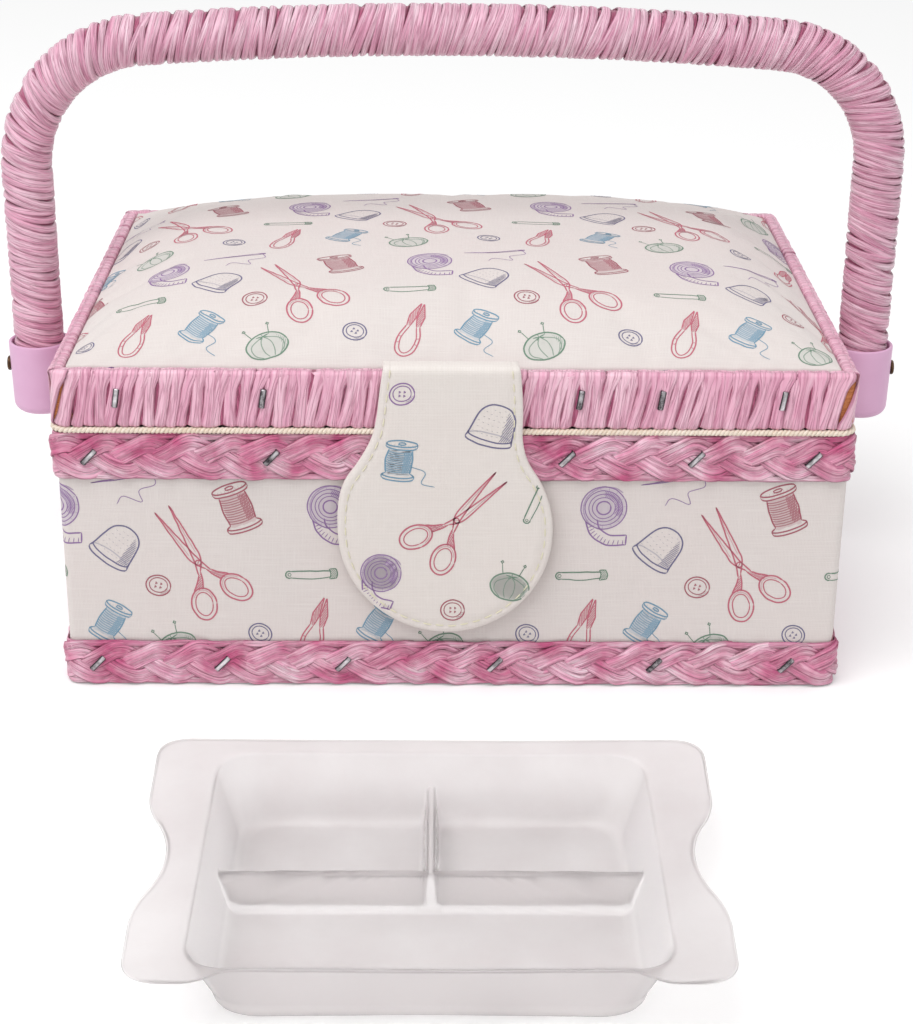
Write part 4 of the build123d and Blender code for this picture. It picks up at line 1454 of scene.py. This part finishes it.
def snips(pen):
    pen.curve([(-2.6, 1.0), (-4.2, -5.0), (-3.4, -11.0), (0, -13.2), (3.4, -11.0), (4.2, -5.0),
               (2.6, 1.0)], 0.5)
    pen.curve([(-1.3, 0.6), (-2.9, -5.0), (-2.2, -10.0), (0, -11.8), (2.2, -10.0), (2.9, -5.0),
               (1.3, 0.6)], 0.4)
    for side in (-1, 1):
        blade = [(side * x, y) for x, y in ((2.6, 1.0), (2.9, 6.0), (0.5, 13.5), (0.2, 5.0), (1.3, 0.6))]
        pen.line(blade, 0.45)
        pen.hatch(blade, 72 * side, 0.6, 0.4, 0.8)
        pen.arc((side * 3.6, -6.0), (0.8, 1.6), width=0.42, ink=0.7)


# %% Motifs with thread
def reel(pen, width=13.0, height=16.0, end=False):
    half, barrel = width / 2, width / 2 * 0.74
    top, bottom = height / 2, -height / 2
    pen.arc((0, top), (half, half * 0.24))
    pen.arc((0, top), (half * 0.26, half * 0.09), width=0.5)
    pen.arc((0, top - 1.3), (half, half * 0.24), 180, 360, width=0.5)
    for x in (-half, half):
        pen.line([(x, top), (x, top - 1.3)])
    pen.arc((0, bottom + 1.3), (half, half * 0.24), 180, 360, width=0.5)
    pen.arc((0, bottom), (half, half * 0.24), 180, 360)
    for side in (-1, 1):
        pen.curve([(side * barrel, top - 2.6), (side * (barrel + 0.5), 0), (side * barrel, bottom + 2.2)])
    for side in (-1, 1):
        pen.line([(side * half, bottom), (side * half, bottom + 1.3), (side * barrel, bottom + 2.2)])
    pen.tint([(-barrel, top - 2.4), (barrel, top - 2.4), (barrel, bottom + 1.2), (-barrel, bottom + 1.2)],
             8, 0.36)
    for z in np.arange(bottom + 3.0, top - 2.8, 0.95):
        pen.arc((0, z + 0.5), (barrel + 0.3, half * 0.2), 190, 350, width=0.44, ink=0.85)
    pen.hatch([(barrel * 0.35, top - 3.2), (barrel, top - 3.2), (barrel, bottom + 2.6),
               (barrel * 0.35, bottom + 2)],
              78, 0.56, 0.4, 0.9)
    pen.hatch([(-half, top - 0.2), (half, top - 0.2), (half, top - 1.4), (-half, top - 1.4)],
              86, 1.3, 0.25, 0.6)
    if end:
        pen.curve([(barrel, -2), (half + 4, -4), (half + 3, -9), (half + 8, -10)], 0.3)


def reel_with_end(pen):
    reel(pen, 11.5, 15.0, True)


def needle(pen):
    pen.curve([(-13, -5), (0, -0.4), (12, 5)], 0.34)
    pen.curve([(-13, -5), (0, 0.4), (10.6, 5.6), (12, 5)], 0.34)
    pen.arc((10.6, 4.8), (1.3, 0.45), turn=22, width=0.42)
    pen.curve([(10.8, 4.8), (13, 0), (7, -4), (9, -9), (1, -8), (-1, -12)], 0.32, 0.9)


# %% Motifs with numbers, dots and wire
def rolled_tape(pen):
    for radius in (8.4, 6.9, 5.5, 4.2):
        pen.arc((0, 2), (radius, radius), width=0.4 if radius > 8 else 0.32)
    pen.arc((0, 2), (2.6, 2.6))
    pen.arc((0.9, 1.2), (8.6, 8.6), 235, 20, width=0.42, ink=0.7)
    outer = [(-8.3, 0.5), (-9.0, -5.5), (-6.0, -11.5), (0.5, -15.0)]
    inner = [(-4.2, -1.0), (-4.9, -4.5), (-2.8, -8.8), (2.6, -11.6)]
    pen.curve(outer)
    pen.curve(inner)
    pen.line([outer[-1], inner[-1]])
    for share in np.linspace(0.08, 0.95, 12):
        a, b = (np.array([np.interp(share, [0, 0.34, 0.68, 1], [p[k] for p in edge]) for k in (0, 1)])
                for edge in (outer, inner))
        pen.line([a, a + (b - a) * (0.5 if int(share * 50) % 2 else 0.3)], 0.3)
    for angle in range(0, 360, 24):
        pen.line([(0, 2) + way_at(angle, 7.1), (0, 2) + way_at(angle, 8.2)], 0.26, 0.8)
    ring = [(0, 2) + way_at(a, 6.8) for a in range(-60, 61, 10)]
    ring += [(0, 2) + way_at(a, 4.3) for a in range(60, -61, -10)]
    pen.tint([(0, 2) + way_at(a, 8.2) for a in range(0, 360, 12)], 30, 0.3)
    pen.hatch(ring, 30, 0.6, 0.42, 0.85)


def thimble(pen):
    pen.arc((0, -6.2), (8.0, 2.1), 180, 360, width=0.5)
    pen.arc((0, -4.4), (7.6, 2.0), 180, 360, width=0.46)
    pen.arc((0, -5.4), (7.9, 2.1), 0, 180, width=0.42, ink=0.45)
    flank = [(8.0, -6.2), (7.4, -4.2), (6.0, 3.6), (3.6, 6.8)]
    pen.curve([(-x, y) for x, y in flank] + [(0, 7.7)] + flank[::-1], 0.5)
    rows = ((-3.4, 6.4), (-1.4, 6.0), (0.6, 5.6), (2.6, 5.0), (4.5, 3.8), (6.1, 2.2))
    for row, (z, half) in enumerate(rows):
        for x in np.arange(-half + 0.8 * (row % 2), half, 1.7):
            pen.arc((x, z - 0.99 * (1 - (x / half) ** 2)), (0.36, 0.36), width=0.28, ink=0.9)
    pen.hatch([(3.4, -5.9), (7.2, -5.2), (5.7, 3.0), (3.2, 6.2)], 74, 0.62, 0.32, 0.75)


def pincushion(pen):
    pen.tint([way_at(a) * (8.0, 5.8) for a in range(0, 360, 12)], 60, 0.28)
    pen.arc((0, 0), (8.2, 6.0), width=0.55)
    for reach in (-5.6, -1.9, 1.9, 5.6):
        pen.curve([(0, 4.4), (reach, 1.6), (reach * 1.1, -2.2), (reach * 0.55, -5.4)], 0.36, 0.85)
    for angle in range(20, 380, 72):
        pen.curve([(0, 4.4), (0, 4.4) + way_at(angle, 2.6) * (1, 0.5)], 0.5)
    pen.hatch([(5.0, 3.8), (7.8, 1.0), (7.0, -3.0), (3.4, -5.2), (5.6, -1.0)], 60, 0.7, 0.32, 0.7)
    for x, lean in ((-4.0, -14), (2.6, 18)):
        pen.line([(x, 4.8), (x, 4.8) + way_at(90 - lean, 5.0)], 0.3)
        pen.arc((x, 4.8) + way_at(90 - lean, 5.5), (0.6, 0.6), width=0.5)


def button(pen):
    pen.arc((0, 0), (4.6, 4.2), width=0.46)
    pen.arc((0, 0.15), (3.4, 3.0), width=0.34)
    for x, y in ((-0.9, 0.8), (0.9, 0.8), (-0.9, -0.7), (0.9, -0.7)):
        pen.arc((x, y), (0.42, 0.4), width=0.5)
    pen.hatch([(4.4, -1), (3.4, -2.8), (1.5, -3.9), (1.3, -3.2), (2.7, -2.0), (3.3, -0.6)],
              20, 0.55, 0.3, 0.7)


def safety_pin(pen):
    pen.line([(-9.0, 1.6), (8.4, 1.6)])
    pen.curve([(-9.0, -1.6), (0, -2.2), (8.4, -1.2)], 0.38)
    pen.arc((-9.6, 0.0), (1.7, 1.7), 60, 300)
    pen.arc((-9.6, 0.0), (0.8, 0.8), width=0.35)
    head = [(7.6, -2.2), (10.6, -1.8), (11.2, 0.4), (10.4, 2.6), (7.6, 2.6), (8.3, 0.2), (7.6, -2.2)]
    pen.line(head, 0.42)
    pen.hatch(head, 50, 0.65)


# %% [markdown]
# ## The repeat
#
# A printed cloth repeats. One tile holds every motif once, with its place, its turn, its scale and its
# ink, and each next row of tiles starts half a tile further on. Strokes wobble a little, as drawn
# lines do.

# %% The repeat
inks = {
    "rose": srgb(190, 84, 108), "wine": srgb(158, 62, 84), "navy": srgb(86, 82, 128),
    "plum": srgb(132, 90, 154), "teal": srgb(94, 144, 172), "moss": srgb(86, 128, 104),
}
paper = np.array(srgb(235, 228, 225))
stroke_step = 0.7
tile_size = (86.0, 70.0)
tile = [
    (shears, 54, 7, 30, 0.86, "rose"), (rolled_tape, 11, 25, 28, 0.86, "plum"),
    (snips, 48, 54, -17, 0.84, "rose"), (reel_with_end, 68, 56, -32, 0.8, "teal"),
    (reel, 67, 26, 20, 0.88, "wine"), (button, 84, 69, -15, 0.86, "wine"),
    (pincushion, 3, 47, 26, 0.82, "moss"), (thimble, 29, 13, -39, 0.9, "navy"),
    (needle, 32, 36, -12, 0.76, "plum"), (safety_pin, 4, 3, 1, 0.74, "moss"),
    (button, 30, 52, -31, 0.82, "navy"),
]


def placed(motif, u, v, turn, scale, ink, shift=(0.0, 0.0)):
    """A motif's strokes at their place on the cloth, with the ink's colour."""
    turn = math.radians(turn)
    rotate = np.array([[math.cos(turn), math.sin(turn)], [-math.sin(turn), math.cos(turn)]]) * scale
    strokes, pen = [], Pen()
    motif(pen)
    for points, width, strength in pen.strokes:
        place = distances(points)
        even = np.linspace(0, place[-1], max(2, int(place[-1] * scale / stroke_step) + 1))
        points = on_line(even, place, points)
        wobble = 0.07 * soft_noise(points + random.uniform(0, 50, 2), 6.0, 5)
        points = points @ rotate + wobble[:, None] * [0.7, 1.0] + [u + shift[0], v + shift[1]]
        colour = paper + (np.array(inks[ink]) - paper) * strength
        strokes.append((points, width * scale ** 0.5, colour, strength))
    return strokes


def repeat(u_range, v_range, start):
    """The strokes of all tiles that reach into a range of the cloth. Start is one tile's corner."""
    def numbers(reach, axis, more):
        first, last = ((end - start[axis]) / tile_size[axis] for end in reach)
        return range(math.floor(first) - more, math.ceil(last) + more)

    strokes = []
    for row in numbers(v_range, 1, 1):
        for column in numbers(u_range, 0, 2):
            shift = (start[0] + (column + 0.5 * (row % 2)) * tile_size[0], start[1] + row * tile_size[1])
            for motif, u, v, turn, scale, ink in tile:
                at = (u + shift[0], v + shift[1])
                if all(low - 30 < a < high + 30 for a, (low, high) in zip(at, (u_range, v_range))):
                    strokes += placed(motif, u, v, turn, scale, ink, shift)
    return strokes


# %% [markdown]
# ## Printing on a cloth
#
# A stroke becomes a thin ribbon with its ink's colour, narrower at its ends. Both its edges are laid on
# the cloth, a hair above it and the strong inks above the washes, so the print follows every fold.
# What runs past the cloth's edge is cut off.


# %% Printing
wash_lift = 0.03
ink_lift = 0.04
stroke_end = 0.45


def print_on(name, laid, strokes):
    points, places, colours, faces, count = [], [], [], [], 0
    for line, width, colour, strength in strokes:
        way = unit(np.gradient(line, axis=0))
        side = join_axes(-way[:, 1], way[:, 0]) * width / 2
        side[[0, -1]] *= stroke_end
        left, right = line + side, line - side
        inside = laid.holds(left) & laid.holds(right)
        if inside.sum() < 2:
            continue
        pairs = np.flatnonzero(inside[:-1] & inside[1:])
        both = np.stack([left, right], axis=1).reshape(-1, 2)
        points.append(laid.put(both, wash_lift + ink_lift * strength))
        places.append(both)
        colours.append(np.tile(colour, (len(both), 1)))
        first = count + pairs * 2
        faces.append(np.stack([first, first + 1, first + 3, first + 2], axis=1))
        count += len(both)
    flat = np.vstack(places)
    made = piece(name, np.vstack(points), np.vstack(faces), ink_finish, "printed_cloth",
                 cloth_place=join_axes(flat[:, 0], flat[:, 1], 0.0), ink_colour=np.vstack(colours))
    print(name, "has", len(strokes), "strokes and", sum(len(f) for f in faces), "faces")
    return made


class LaidTab:
    """The tab's face, for printing: x across and the height, before it is bent."""

    def put(self, flat, lift):
        return bend_tab(flat, np.full(len(flat), -lift))

    def holds(self, flat):
        width = tab_half_width(np.maximum(flat[:, 1], tab_low[2] + 0.5))
        return ((np.abs(flat[:, 0]) < width - 1.0) & (flat[:, 1] > tab_low[2] + 1.2)
                & (flat[:, 1] < tab_high[2] + tab_lap - 1.5))


over_pad = (pad_laid.u[0], pad_laid.u[-1]), (pad_laid.v[0], pad_laid.v[-1])
pad_print = print_on("lid_print", pad_laid, repeat(*over_pad, start=(-104.0, -60.0)))
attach(pad_print, "lid")
box_print = print_on("box_print", box_laid, repeat((0, box_laid.u[-1]), (0, 76), start=(33.0, 36.0)))
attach(box_print, "basket")
tab_strokes = []
on_tab = [
    (shears, 3, 60, -42, 0.8, "rose"), (reel_with_end, -13, 80, -6, 0.76, "teal"),
    (button, -14, 102, 0, 0.84, "plum"), (thimble, 13, 92, -16, 0.86, "navy"),
    (rolled_tape, -20, 41, 10, 0.74, "plum"), (button, 2, 30, 0, 0.82, "wine"),
    (pincushion, 20, 38, -12, 0.76, "moss"), (safety_pin, 27, 66, 70, 0.64, "moss"),
]
for drawing in on_tab:
    tab_strokes += placed(*drawing)
tab_print = print_on("tab_print", LaidTab(), tab_strokes)

# %% [markdown]
# ## The cloth hinge
#
# Behind, a strip of plain cloth is glued to the wall's top and to the lid, and its fold is the hinge.
# One U-shaped strip takes the place of the two CAD leaves.

# %% The cloth hinge
def build_hinge():
    body_low, body_high = place_of("hinge_leaf_body")
    lid_leaf_low, lid_leaf_high = place_of("hinge_leaf_lid")
    low, high = (body_low[2] + body_high[2]) / 2, (lid_leaf_low[2] + lid_leaf_high[2]) / 2
    radius = (high - low) / 2
    back = body_high[1] - radius
    line = [(body_low[1], low), (body_low[1] + 3, low), (back - 1, low)]
    line += [(back + radius * math.sin(a), low + radius - radius * math.cos(a))
             for a in np.linspace(0, math.pi, 13)]
    line += [(back - 1, high), (lid_leaf_low[1] + 3, high), (lid_leaf_low[1], high)]
    line = np.array(line)
    x = np.linspace(body_low[0], body_high[0], 72)
    grid = join_axes(x, line[:, :1], line[:, 1:])
    v = distances(line)
    laid = LaidCloth(x, v, grid)
    made = laid.piece("hinge_cloth", lining_cotton, "plain_cloth", cloth_thickness, 0, turned_over=True)
    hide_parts("hinge_leaf_body", "hinge_leaf_lid")
    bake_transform(made)
    print("hinge strip", round(v[-1], 1), "mm across its fold")


build_hinge()

# %% [markdown]
# ## Staples
#
# Small wire staples hold the braids and the rim. The CAD has each as a square-cut bar. Here each bar is
# found again as a loose part of its node: every corner starts with a label of its own, and the lowest
# label spreads along the edges. A flat round-edged wire with two bent-in ends is laid in its place. All
# lean to the right, as they were shot in by one hand.

# %% Staples
def loose_parts(node):
    """The corner points of each separate solid in a CAD piece, in millimetres."""
    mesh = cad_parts[node].data
    points = np.array([vertex.co for vertex in mesh.vertices])
    _, label, same = np.unique(points.round(6), axis=0, return_index=True, return_inverse=True)
    same = same.ravel()
    ends = same[np.array([edge.vertices[:] for edge in mesh.edges])].T
    spread = None
    while spread is None or (spread != label).any():
        spread = label.copy()
        for one, other in (ends, ends[::-1]):
            np.minimum.at(label, one, spread[other])
    return [points[label[same] == part] / MM for part in np.unique(label)]


staple_bend = 0.55
staple_leg = 1.3


def staple_shape(length):
    """A staple's line and the way its face looks at each point: first along the wire, then outward."""
    half = length / 2
    row = [((half, -staple_leg), (1.0, 0.0)), ((half, -staple_bend - 0.3), (1.0, 0.0))]
    for angle in np.radians((80, 60, 40, 20)):
        face = (math.sin(angle), math.cos(angle))
        row.append(((half + staple_bend * (face[0] - 1), staple_bend * (face[1] - 1)), face))
    right = np.array(row)
    whole = np.concatenate([right * [-1, 1], [[(0.0, 0.0), (0.0, 1.0)]], right[::-1]])
    return whole[:, 0], whole[:, 1]


def build_staples(node, name, body):
    bundle = Bundle()
    parts = staple_places(node)
    for number, (centre, way, out, length, width) in enumerate(parts):
        path, face = staple_shape(length)
        points = centre + path[:, :1] * way + (path[:, 1:] - 0.1 + random.uniform(0, 0.12)) * out
        outward = face[:, :1] * way + face[:, 1:] * out
        flat_strand(bundle, points, outward, width * 1.7, thickness=0.3, crown=0.2, number=number)
    made = bundle.piece(name, staple_wire, "staple_wire")
    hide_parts(node)
    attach(made, body)
    print(name, len(parts))


def staple_places(node):
    """For each staple: the middle of its outer face, the way it lies, the way it faces, length and width."""
    found = []
    for points in loose_parts(node):
        middle = (points.min(axis=0) + points.max(axis=0)) / 2
        front = abs(middle[0]) - wall_high[0] < abs(middle[1]) - wall_high[1]
        axis = 1 if front else 0
        out = np.zeros(3)
        out[axis] = math.copysign(1, middle[axis])
        reach = points @ out
        face = points[reach > reach.max() - 0.2]
        centre = (face.min(axis=0) + face.max(axis=0)) / 2
        spread = np.cov((face - face.mean(axis=0)).T)
        way = np.linalg.eigh(spread)[1][:, -1]
        way = unit(way - out * (way @ out))
        length, width = np.ptp(face @ way), np.ptp(face @ np.cross(out, way))
        right_hand = np.cross([0.0, 0.0, 1.0], out)
        lean = max(0.6 * abs(way @ right_hand), 0.15)
        way = unit(right_hand * lean + np.array([0.0, 0.0, abs(way[2])]))
        found.append((centre, way, out, length, width))
    return found


build_staples("braid_staples", "braid_wire_staples", "basket")
build_staples("rim_staples", "rim_wire_staples", "lid")

# %% [markdown]
# ## The handle's sockets
#
# Each end of the handle sits in a moulded plastic cup. A turned profile gives it: a thin rounded lip
# round the raffia, straight sides with a little draft and a well-rounded foot. The pivot screw runs
# through it, and the screw's own head and nut hide where it goes in, so no hole is cut.

# %% The sockets
def turned(profile, centre, sides=72):
    """Points and faces of a profile of radius and height, turned about an upright axis."""
    angle = np.linspace(0, 2 * np.pi, sides, endpoint=False)
    rings = [join_axes(centre[0] + r * np.cos(angle), centre[1] + r * np.sin(angle), z) for r, z in profile]
    points = np.concatenate(rings)
    faces = row_faces(len(profile), sides, False, True).tolist()
    faces.append(list(range(sides))[::-1])
    faces.append([(len(profile) - 1) * sides + k for k in range(sides)])
    return points, faces


def build_socket(side):
    low, high = place_of(side + "_socket")
    centre = (low + high) / 2
    foot_round, lip, draft, bore = 3.6, 0.62, 0.5, 5.5
    top_radius, height = (high[0] - low[0]) / 2, high[2] - low[2]
    foot_radius = top_radius - draft
    profile = [(foot_radius - foot_round + foot_round * math.sin(a), low[2] + foot_round * (1 - math.cos(a)))
               for a in np.radians(np.linspace(0, 90, 12))]
    for share in (0.3, 0.5, 0.7, 0.9):
        z = low[2] + foot_round + (height - foot_round - lip) * share
        profile.append((foot_radius + draft * share, z))
    profile += [(top_radius - lip + lip * math.cos(a), high[2] - lip + lip * math.sin(a))
                for a in np.radians(np.linspace(10, 170, 9))]
    profile += [(top_radius - 2 * lip, high[2] - 1.6), (top_radius - 2 * lip, high[2] - bore)]
    points, faces = turned(profile, centre)
    made = piece(side + "_socket_cup", points, faces, lilac_plastic, "lilac_plastic")
    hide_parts(side + "_socket")
    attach(made, "handle")
    print(side, "socket, radius", round(top_radius, 2), "and height", round(height, 1))


for side in ("left", "right"):
    build_socket(side)

# %% [markdown]
# ## The formed tray
#
# The tray is one thin sheet, and so it is here: rings of points run from the flange's edge inward, over
# the well's mouth, down its drafted wall and across the floor, and the two dividers are folds that
# rise out of it. Solidify gives the sheet its wall.

# %% The tray's outlines
tray_low, tray_high = place_of("tray")
tray_middle = (tray_low + tray_high) / 2
tray_size = tray_high - tray_low
tray_top = tray_size[2]
tray_wall = 0.8
tray_fillet = 3.8
tray_warp = 0.35
well_corner = 10.0
corner_loss = 0.6
back_fade = 25.0
tray_front_width = 149.5
tray_corner = 9.0
tray_floor = (108.0, 91.0)
tray_back_inset = 11.0
tray_draft = {"side": 7.0, "back": 3.5, "front": 11.0}
tray_notch = {"depth": 6.8, "mouth": 47.0, "floor": 18.0, "shift": -4.0}
tray_step = {"depth": 5.0, "width": 112.0}
divider = {"height": 12.0, "half": 1.75, "softness": 0.22, "before back": 44.0}
floor_back = tray_size[1] / 2 - tray_back_inset
divider_y = floor_back - divider["before back"]


def rounded(corners, radii):
    """A closed outline, each corner a soft bend of its own size. Fuller bends come nearer the corner."""
    fuller = 0.86
    corners = np.array(corners, float)
    line = []
    befores, afters = np.roll(corners, 1, axis=0), np.roll(corners, -1, axis=0)
    for before, corner, after, radius in zip(befores, corners, afters, radii):
        back, on = before - corner, after - corner
        reach = min(radius, 0.48 * np.linalg.norm(back), 0.48 * np.linalg.norm(on))
        start, end = corner + unit(back) * reach, corner + unit(on) * reach
        for t in np.linspace(0, 1, 9):
            line.append(start * (1 - t) ** 2 + end * t ** 2 + 2 * t * (1 - t)
                        * (corner * fuller + (start + end) / 2 * (1 - fuller)))
    return line


def outline_reach(corners, soften, angles, centre):
    """How far a closed outline lies from the centre, seen along each angle. Soften rounds its corners."""
    step = 0.2
    corners = np.array(corners + corners[:1])
    place = distances(corners)
    even = np.linspace(0, place[-1], int(place[-1] / step), endpoint=False)
    line = on_line(even, place, corners)
    reach = int(soften / step)
    kernel = np.hanning(2 * reach + 1)
    kernel /= kernel.sum()
    wrapped = np.concatenate([line[-reach:], line, line[:reach]])
    line = np.stack([np.convolve(wrapped[:, k], kernel, "valid") for k in (0, 1)], axis=1)
    away = line - centre
    seen = np.arctan2(away[:, 1], away[:, 0])
    order = np.argsort(seen)
    return np.interp(angles, seen[order], np.linalg.norm(away, axis=1)[order], period=2 * np.pi)


def flange_half_width(y):
    """Half the flange's width, which grows to the back. Soft corners take a little off, so it adds that."""
    share = (y + tray_size[1] / 2) / tray_size[1]
    return (tray_front_width + (tray_size[0] + corner_loss - tray_front_width) * share) / 2


def flange_outline():
    """The flange from above, with a notch in each side and a step in the front."""
    half_y = tray_size[1] / 2
    shift, mouth, floor = tray_notch["shift"], tray_notch["mouth"] / 2, tray_notch["floor"] / 2
    notch_x = flange_half_width(shift) - tray_notch["depth"]
    step_y = -half_y + tray_step["depth"]
    outer, inner = tray_step["width"] / 2, tray_step["width"] / 2 - tray_step["depth"]
    right = [(flange_half_width(-half_y), -half_y), (flange_half_width(shift - mouth), shift - mouth),
             (notch_x, shift - floor), (notch_x, shift + floor),
             (flange_half_width(shift + mouth), shift + mouth), (flange_half_width(half_y), half_y)]
    left = [(-x, y) for x, y in right[::-1]]
    front = [(-outer, -half_y), (-inner, step_y), (inner, step_y), (outer, -half_y)]
    side_bends = [tray_corner, 7, 9, 9, 7, tray_corner]
    return rounded(right + left + front, side_bends * 2 + [4] * 4)


def well_outline(z):
    """The well's wall at a height: it stands a little outward, by its own draft on each side."""
    share = z / tray_top
    half = tray_floor[0] / 2 + tray_draft["side"] * share - tray_wall
    back = floor_back + tray_draft["back"] * share - tray_wall
    front = floor_back - tray_floor[1] - tray_draft["front"] * share + tray_wall
    return rounded([(half, front), (half, back), (-half, back), (-half, front)], [well_corner] * 4)


def divider_folds(x, y):
    """The height of the two dividers over the floor, as rounded folds."""
    def fold(distance):
        return divider["height"] / (1 + np.exp((np.abs(distance) - divider["half"]) / divider["softness"]))

    return np.maximum(fold(y - divider_y), fold(x) * (y > divider_y))


def tray_rings(angles, centre):
    """Rings from the flange's edge to the middle of the floor: reach from the centre, and height."""
    def well(z):
        return outline_reach(well_outline(z), 1.5, angles, centre)

    mouth = well(tray_top)
    width = np.clip(outline_reach(flange_outline(), 1.2, angles, centre) - mouth, 0.7, None)
    rings = [(mouth + width, tray_top - 0.5), (mouth + width - 0.15, tray_top - 0.15)]
    rings += [(mouth + width * share - 0.1, tray_top) for share in (0.96, 0.8, 0.6, 0.4, 0.2, 0.08)]
    rings += [(well(tray_top - drop), tray_top - drop) for drop in (0.35, 1.0, 2.0)]
    rings += [(well(z), z) for z in np.linspace(tray_top - 3.5, 5.5, 16)]
    foot = well(tray_wall + tray_fillet)
    rings += [(foot - tray_fillet * (1 - math.cos(a)), tray_wall + tray_fillet * (1 - math.sin(a)))
              for a in np.radians((12, 28, 45, 62, 78))]
    floor = foot - tray_fillet
    return rings + [(floor * share, tray_wall) for share in np.linspace(1, 0.004, int(floor.max() / 0.9))]


def mark_drawn_and_painted_light(made, cloud):
    """Stores how far the sheet was drawn at each point, with painted light: most on steep walls, which stand
    in shade, but not on the back wall, which faces the light.
    """
    facing = np.zeros(cloud.size)
    made.data.vertices.foreach_get("normal", facing)
    steep = np.clip(1.15 - 1.3 * np.abs(facing[2::3]), 0, 1)
    before_back = np.clip((floor_back + tray_middle[1] - cloud[:, 1]) / back_fade, 0, 1)
    drawn = made.data.attributes.new("drawn", "FLOAT", "POINT")
    drawn.data.foreach_set("value", (steep * before_back).astype(np.float32))


# %% The tray as one sheet
def build_tray():
    sides = 440
    centre = np.array([0.0, divider_y])
    angles = np.linspace(-np.pi, np.pi, sides, endpoint=False)
    ray = join_axes(np.cos(angles), np.sin(angles))
    points = []
    for reach, z in tray_rings(angles, centre):
        flat = centre + ray * reach[:, None]
        fold = divider_folds(flat[:, 0], flat[:, 1])
        height = np.maximum(z, np.minimum(fold + tray_wall * (fold > 0.01), divider["height"]))
        sway = tray_warp * soft_noise(flat, 110.0, 11) * (z / tray_top) ** 3
        points.append(np.column_stack([flat, height + sway]))
    cloud = np.concatenate(points) + [tray_middle[0], tray_middle[1], 0]
    faces = row_faces(len(points), sides, False, True)
    faces = faces.tolist() + [list(range(len(cloud) - sides, len(cloud)))]
    made = piece("formed_tray", cloud, faces, frosted_plastic, "frosted_plastic")
    mark_drawn_and_painted_light(made, cloud)
    thicken(made, tray_wall * 0.92)
    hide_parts("tray")
    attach(made, "tray")
    print("the tray has", len(cloud), "points")


build_tray()

# %% [markdown]
# ## Finishes for the pieces that keep their CAD shape
#
# Boards, linings, screws, nuts, bushes, the rod, the tab's card and the closure keep their CAD shape,
# and each gets the finish of its own material.

# %% Finishes of the CAD pieces
sides = ("front", "back", "left", "right")
kept_pieces = {
    lining_cotton: ["base_cloth", "lining_floor", "lid_lining"] + ["lining_" + side for side in sides],
    fibreboard: ["bottom_board", "lid_panel"] + [side + "_board" for side in sides]
                + ["rim_board_" + side for side in sides],
    closure_steel: ["closure_stud", "tab_magnet"],
    bronzed_steel: ["left_pivot_screw", "right_pivot_screw", "left_pivot_nut", "right_pivot_nut"],
    lilac_plastic: ["left_spacer", "right_spacer"],
    cane: ["handle_core"],
    card: ["tab_stiffener"],
}
for material, nodes in kept_pieces.items():
    for node in nodes:
        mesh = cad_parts[node].data
        mesh.materials.clear()
        mesh.materials.append(material)
print(sum(len(nodes) for nodes in kept_pieces.values()), "CAD pieces finished")

# %% [markdown]
# ## Floor and light
#
# The photograph's light is soft from all round, a little stronger from above and in front. The sky
# gives the even part, one large panel the rest. A faint glow that only the camera and mirrors see makes
# the floor white, while it still takes the soft contact shadow. Through the tray the glow is stronger.

# %% Floor and light
white = (1.0, 1.0, 1.0, 1.0)
floor_glow = 0.22
glow_through_plastic = 1.6
sky_strength = 0.71
panel_place, panel_target = np.array([-0.5, -0.7, 1.5]), np.array([0, 0, 0.05])


def seen_directly(tree, through_plastic=1.0):
    """1 for what the camera or a mirror sees, and its own strength for what shows through the tray."""
    rays = tree.node("ShaderNodeLightPath").outputs
    return tree.math("MAXIMUM", tree.math("MAXIMUM", rays["Is Camera Ray"], rays["Is Glossy Ray"]),
                     tree.times(rays["Is Transmission Ray"], through_plastic))


def build_floor():
    material, tree, shader = new_material("pale floor", Base_Color=(0.86, 0.86, 0.86, 1.0), Roughness=0.9,
                                          Specular_IOR_Level=0.0, Emission_Color=white)
    seen = seen_directly(tree, glow_through_plastic)
    tree.feed(shader.inputs["Emission Strength"], tree.times(seen, floor_glow))
    mesh = bpy.data.meshes.new("floor")
    corners = ((-3, -3), (3, -3), (3, 3), (-3, 3))
    mesh.from_pydata([(x, y, -0.05 * MM) for x, y in corners], [], [(0, 1, 2, 3)])
    mesh.materials.append(material)
    floor = bpy.data.objects.new("floor", mesh)
    bpy.context.scene.collection.objects.link(floor)


def hang_panel():
    light = bpy.data.lights.new("panel_above", "AREA")
    light.shape = "RECTANGLE"
    light.size, light.size_y = 1.2, 1.0
    light.energy = 14.0
    back = unit(panel_place - panel_target)
    side = unit(np.cross([0.0, 0.0, 1.0], back))
    stand("panel_above", light, side, np.cross(back, side), back, panel_place)


world = bpy.data.worlds.new("studio")
bpy.context.scene.world = world
world.use_nodes = True
sky = Tree(world.node_tree)
background = sky.node("ShaderNodeBackground", {"Color": white})
sky.feed(background.inputs["Strength"], sky.spread(seen_directly(sky), 0.0, 1.0, sky_strength, 1.0))
sky.node("ShaderNodeOutputWorld", {0: background.outputs[0]})
build_floor()
hang_panel()
bpy.context.scene.view_settings.view_transform = "Standard"
print("sky at", sky_strength, "and", len(bpy.data.lights), "panel")

# %% [markdown]
# ## Riding with the tab
# ## The tab's pieces
# The tab bends over the rim. Its cloth, stitches and print have their placement written into their points.

# %% The tab's placement
for part in (tab_cloth, tab_stitches, tab_print):
    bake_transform(part)

# %% [markdown]
# ## The last update
#
# Last, the view layer is brought up to date.

# %% Finish
bpy.context.view_layer.update()
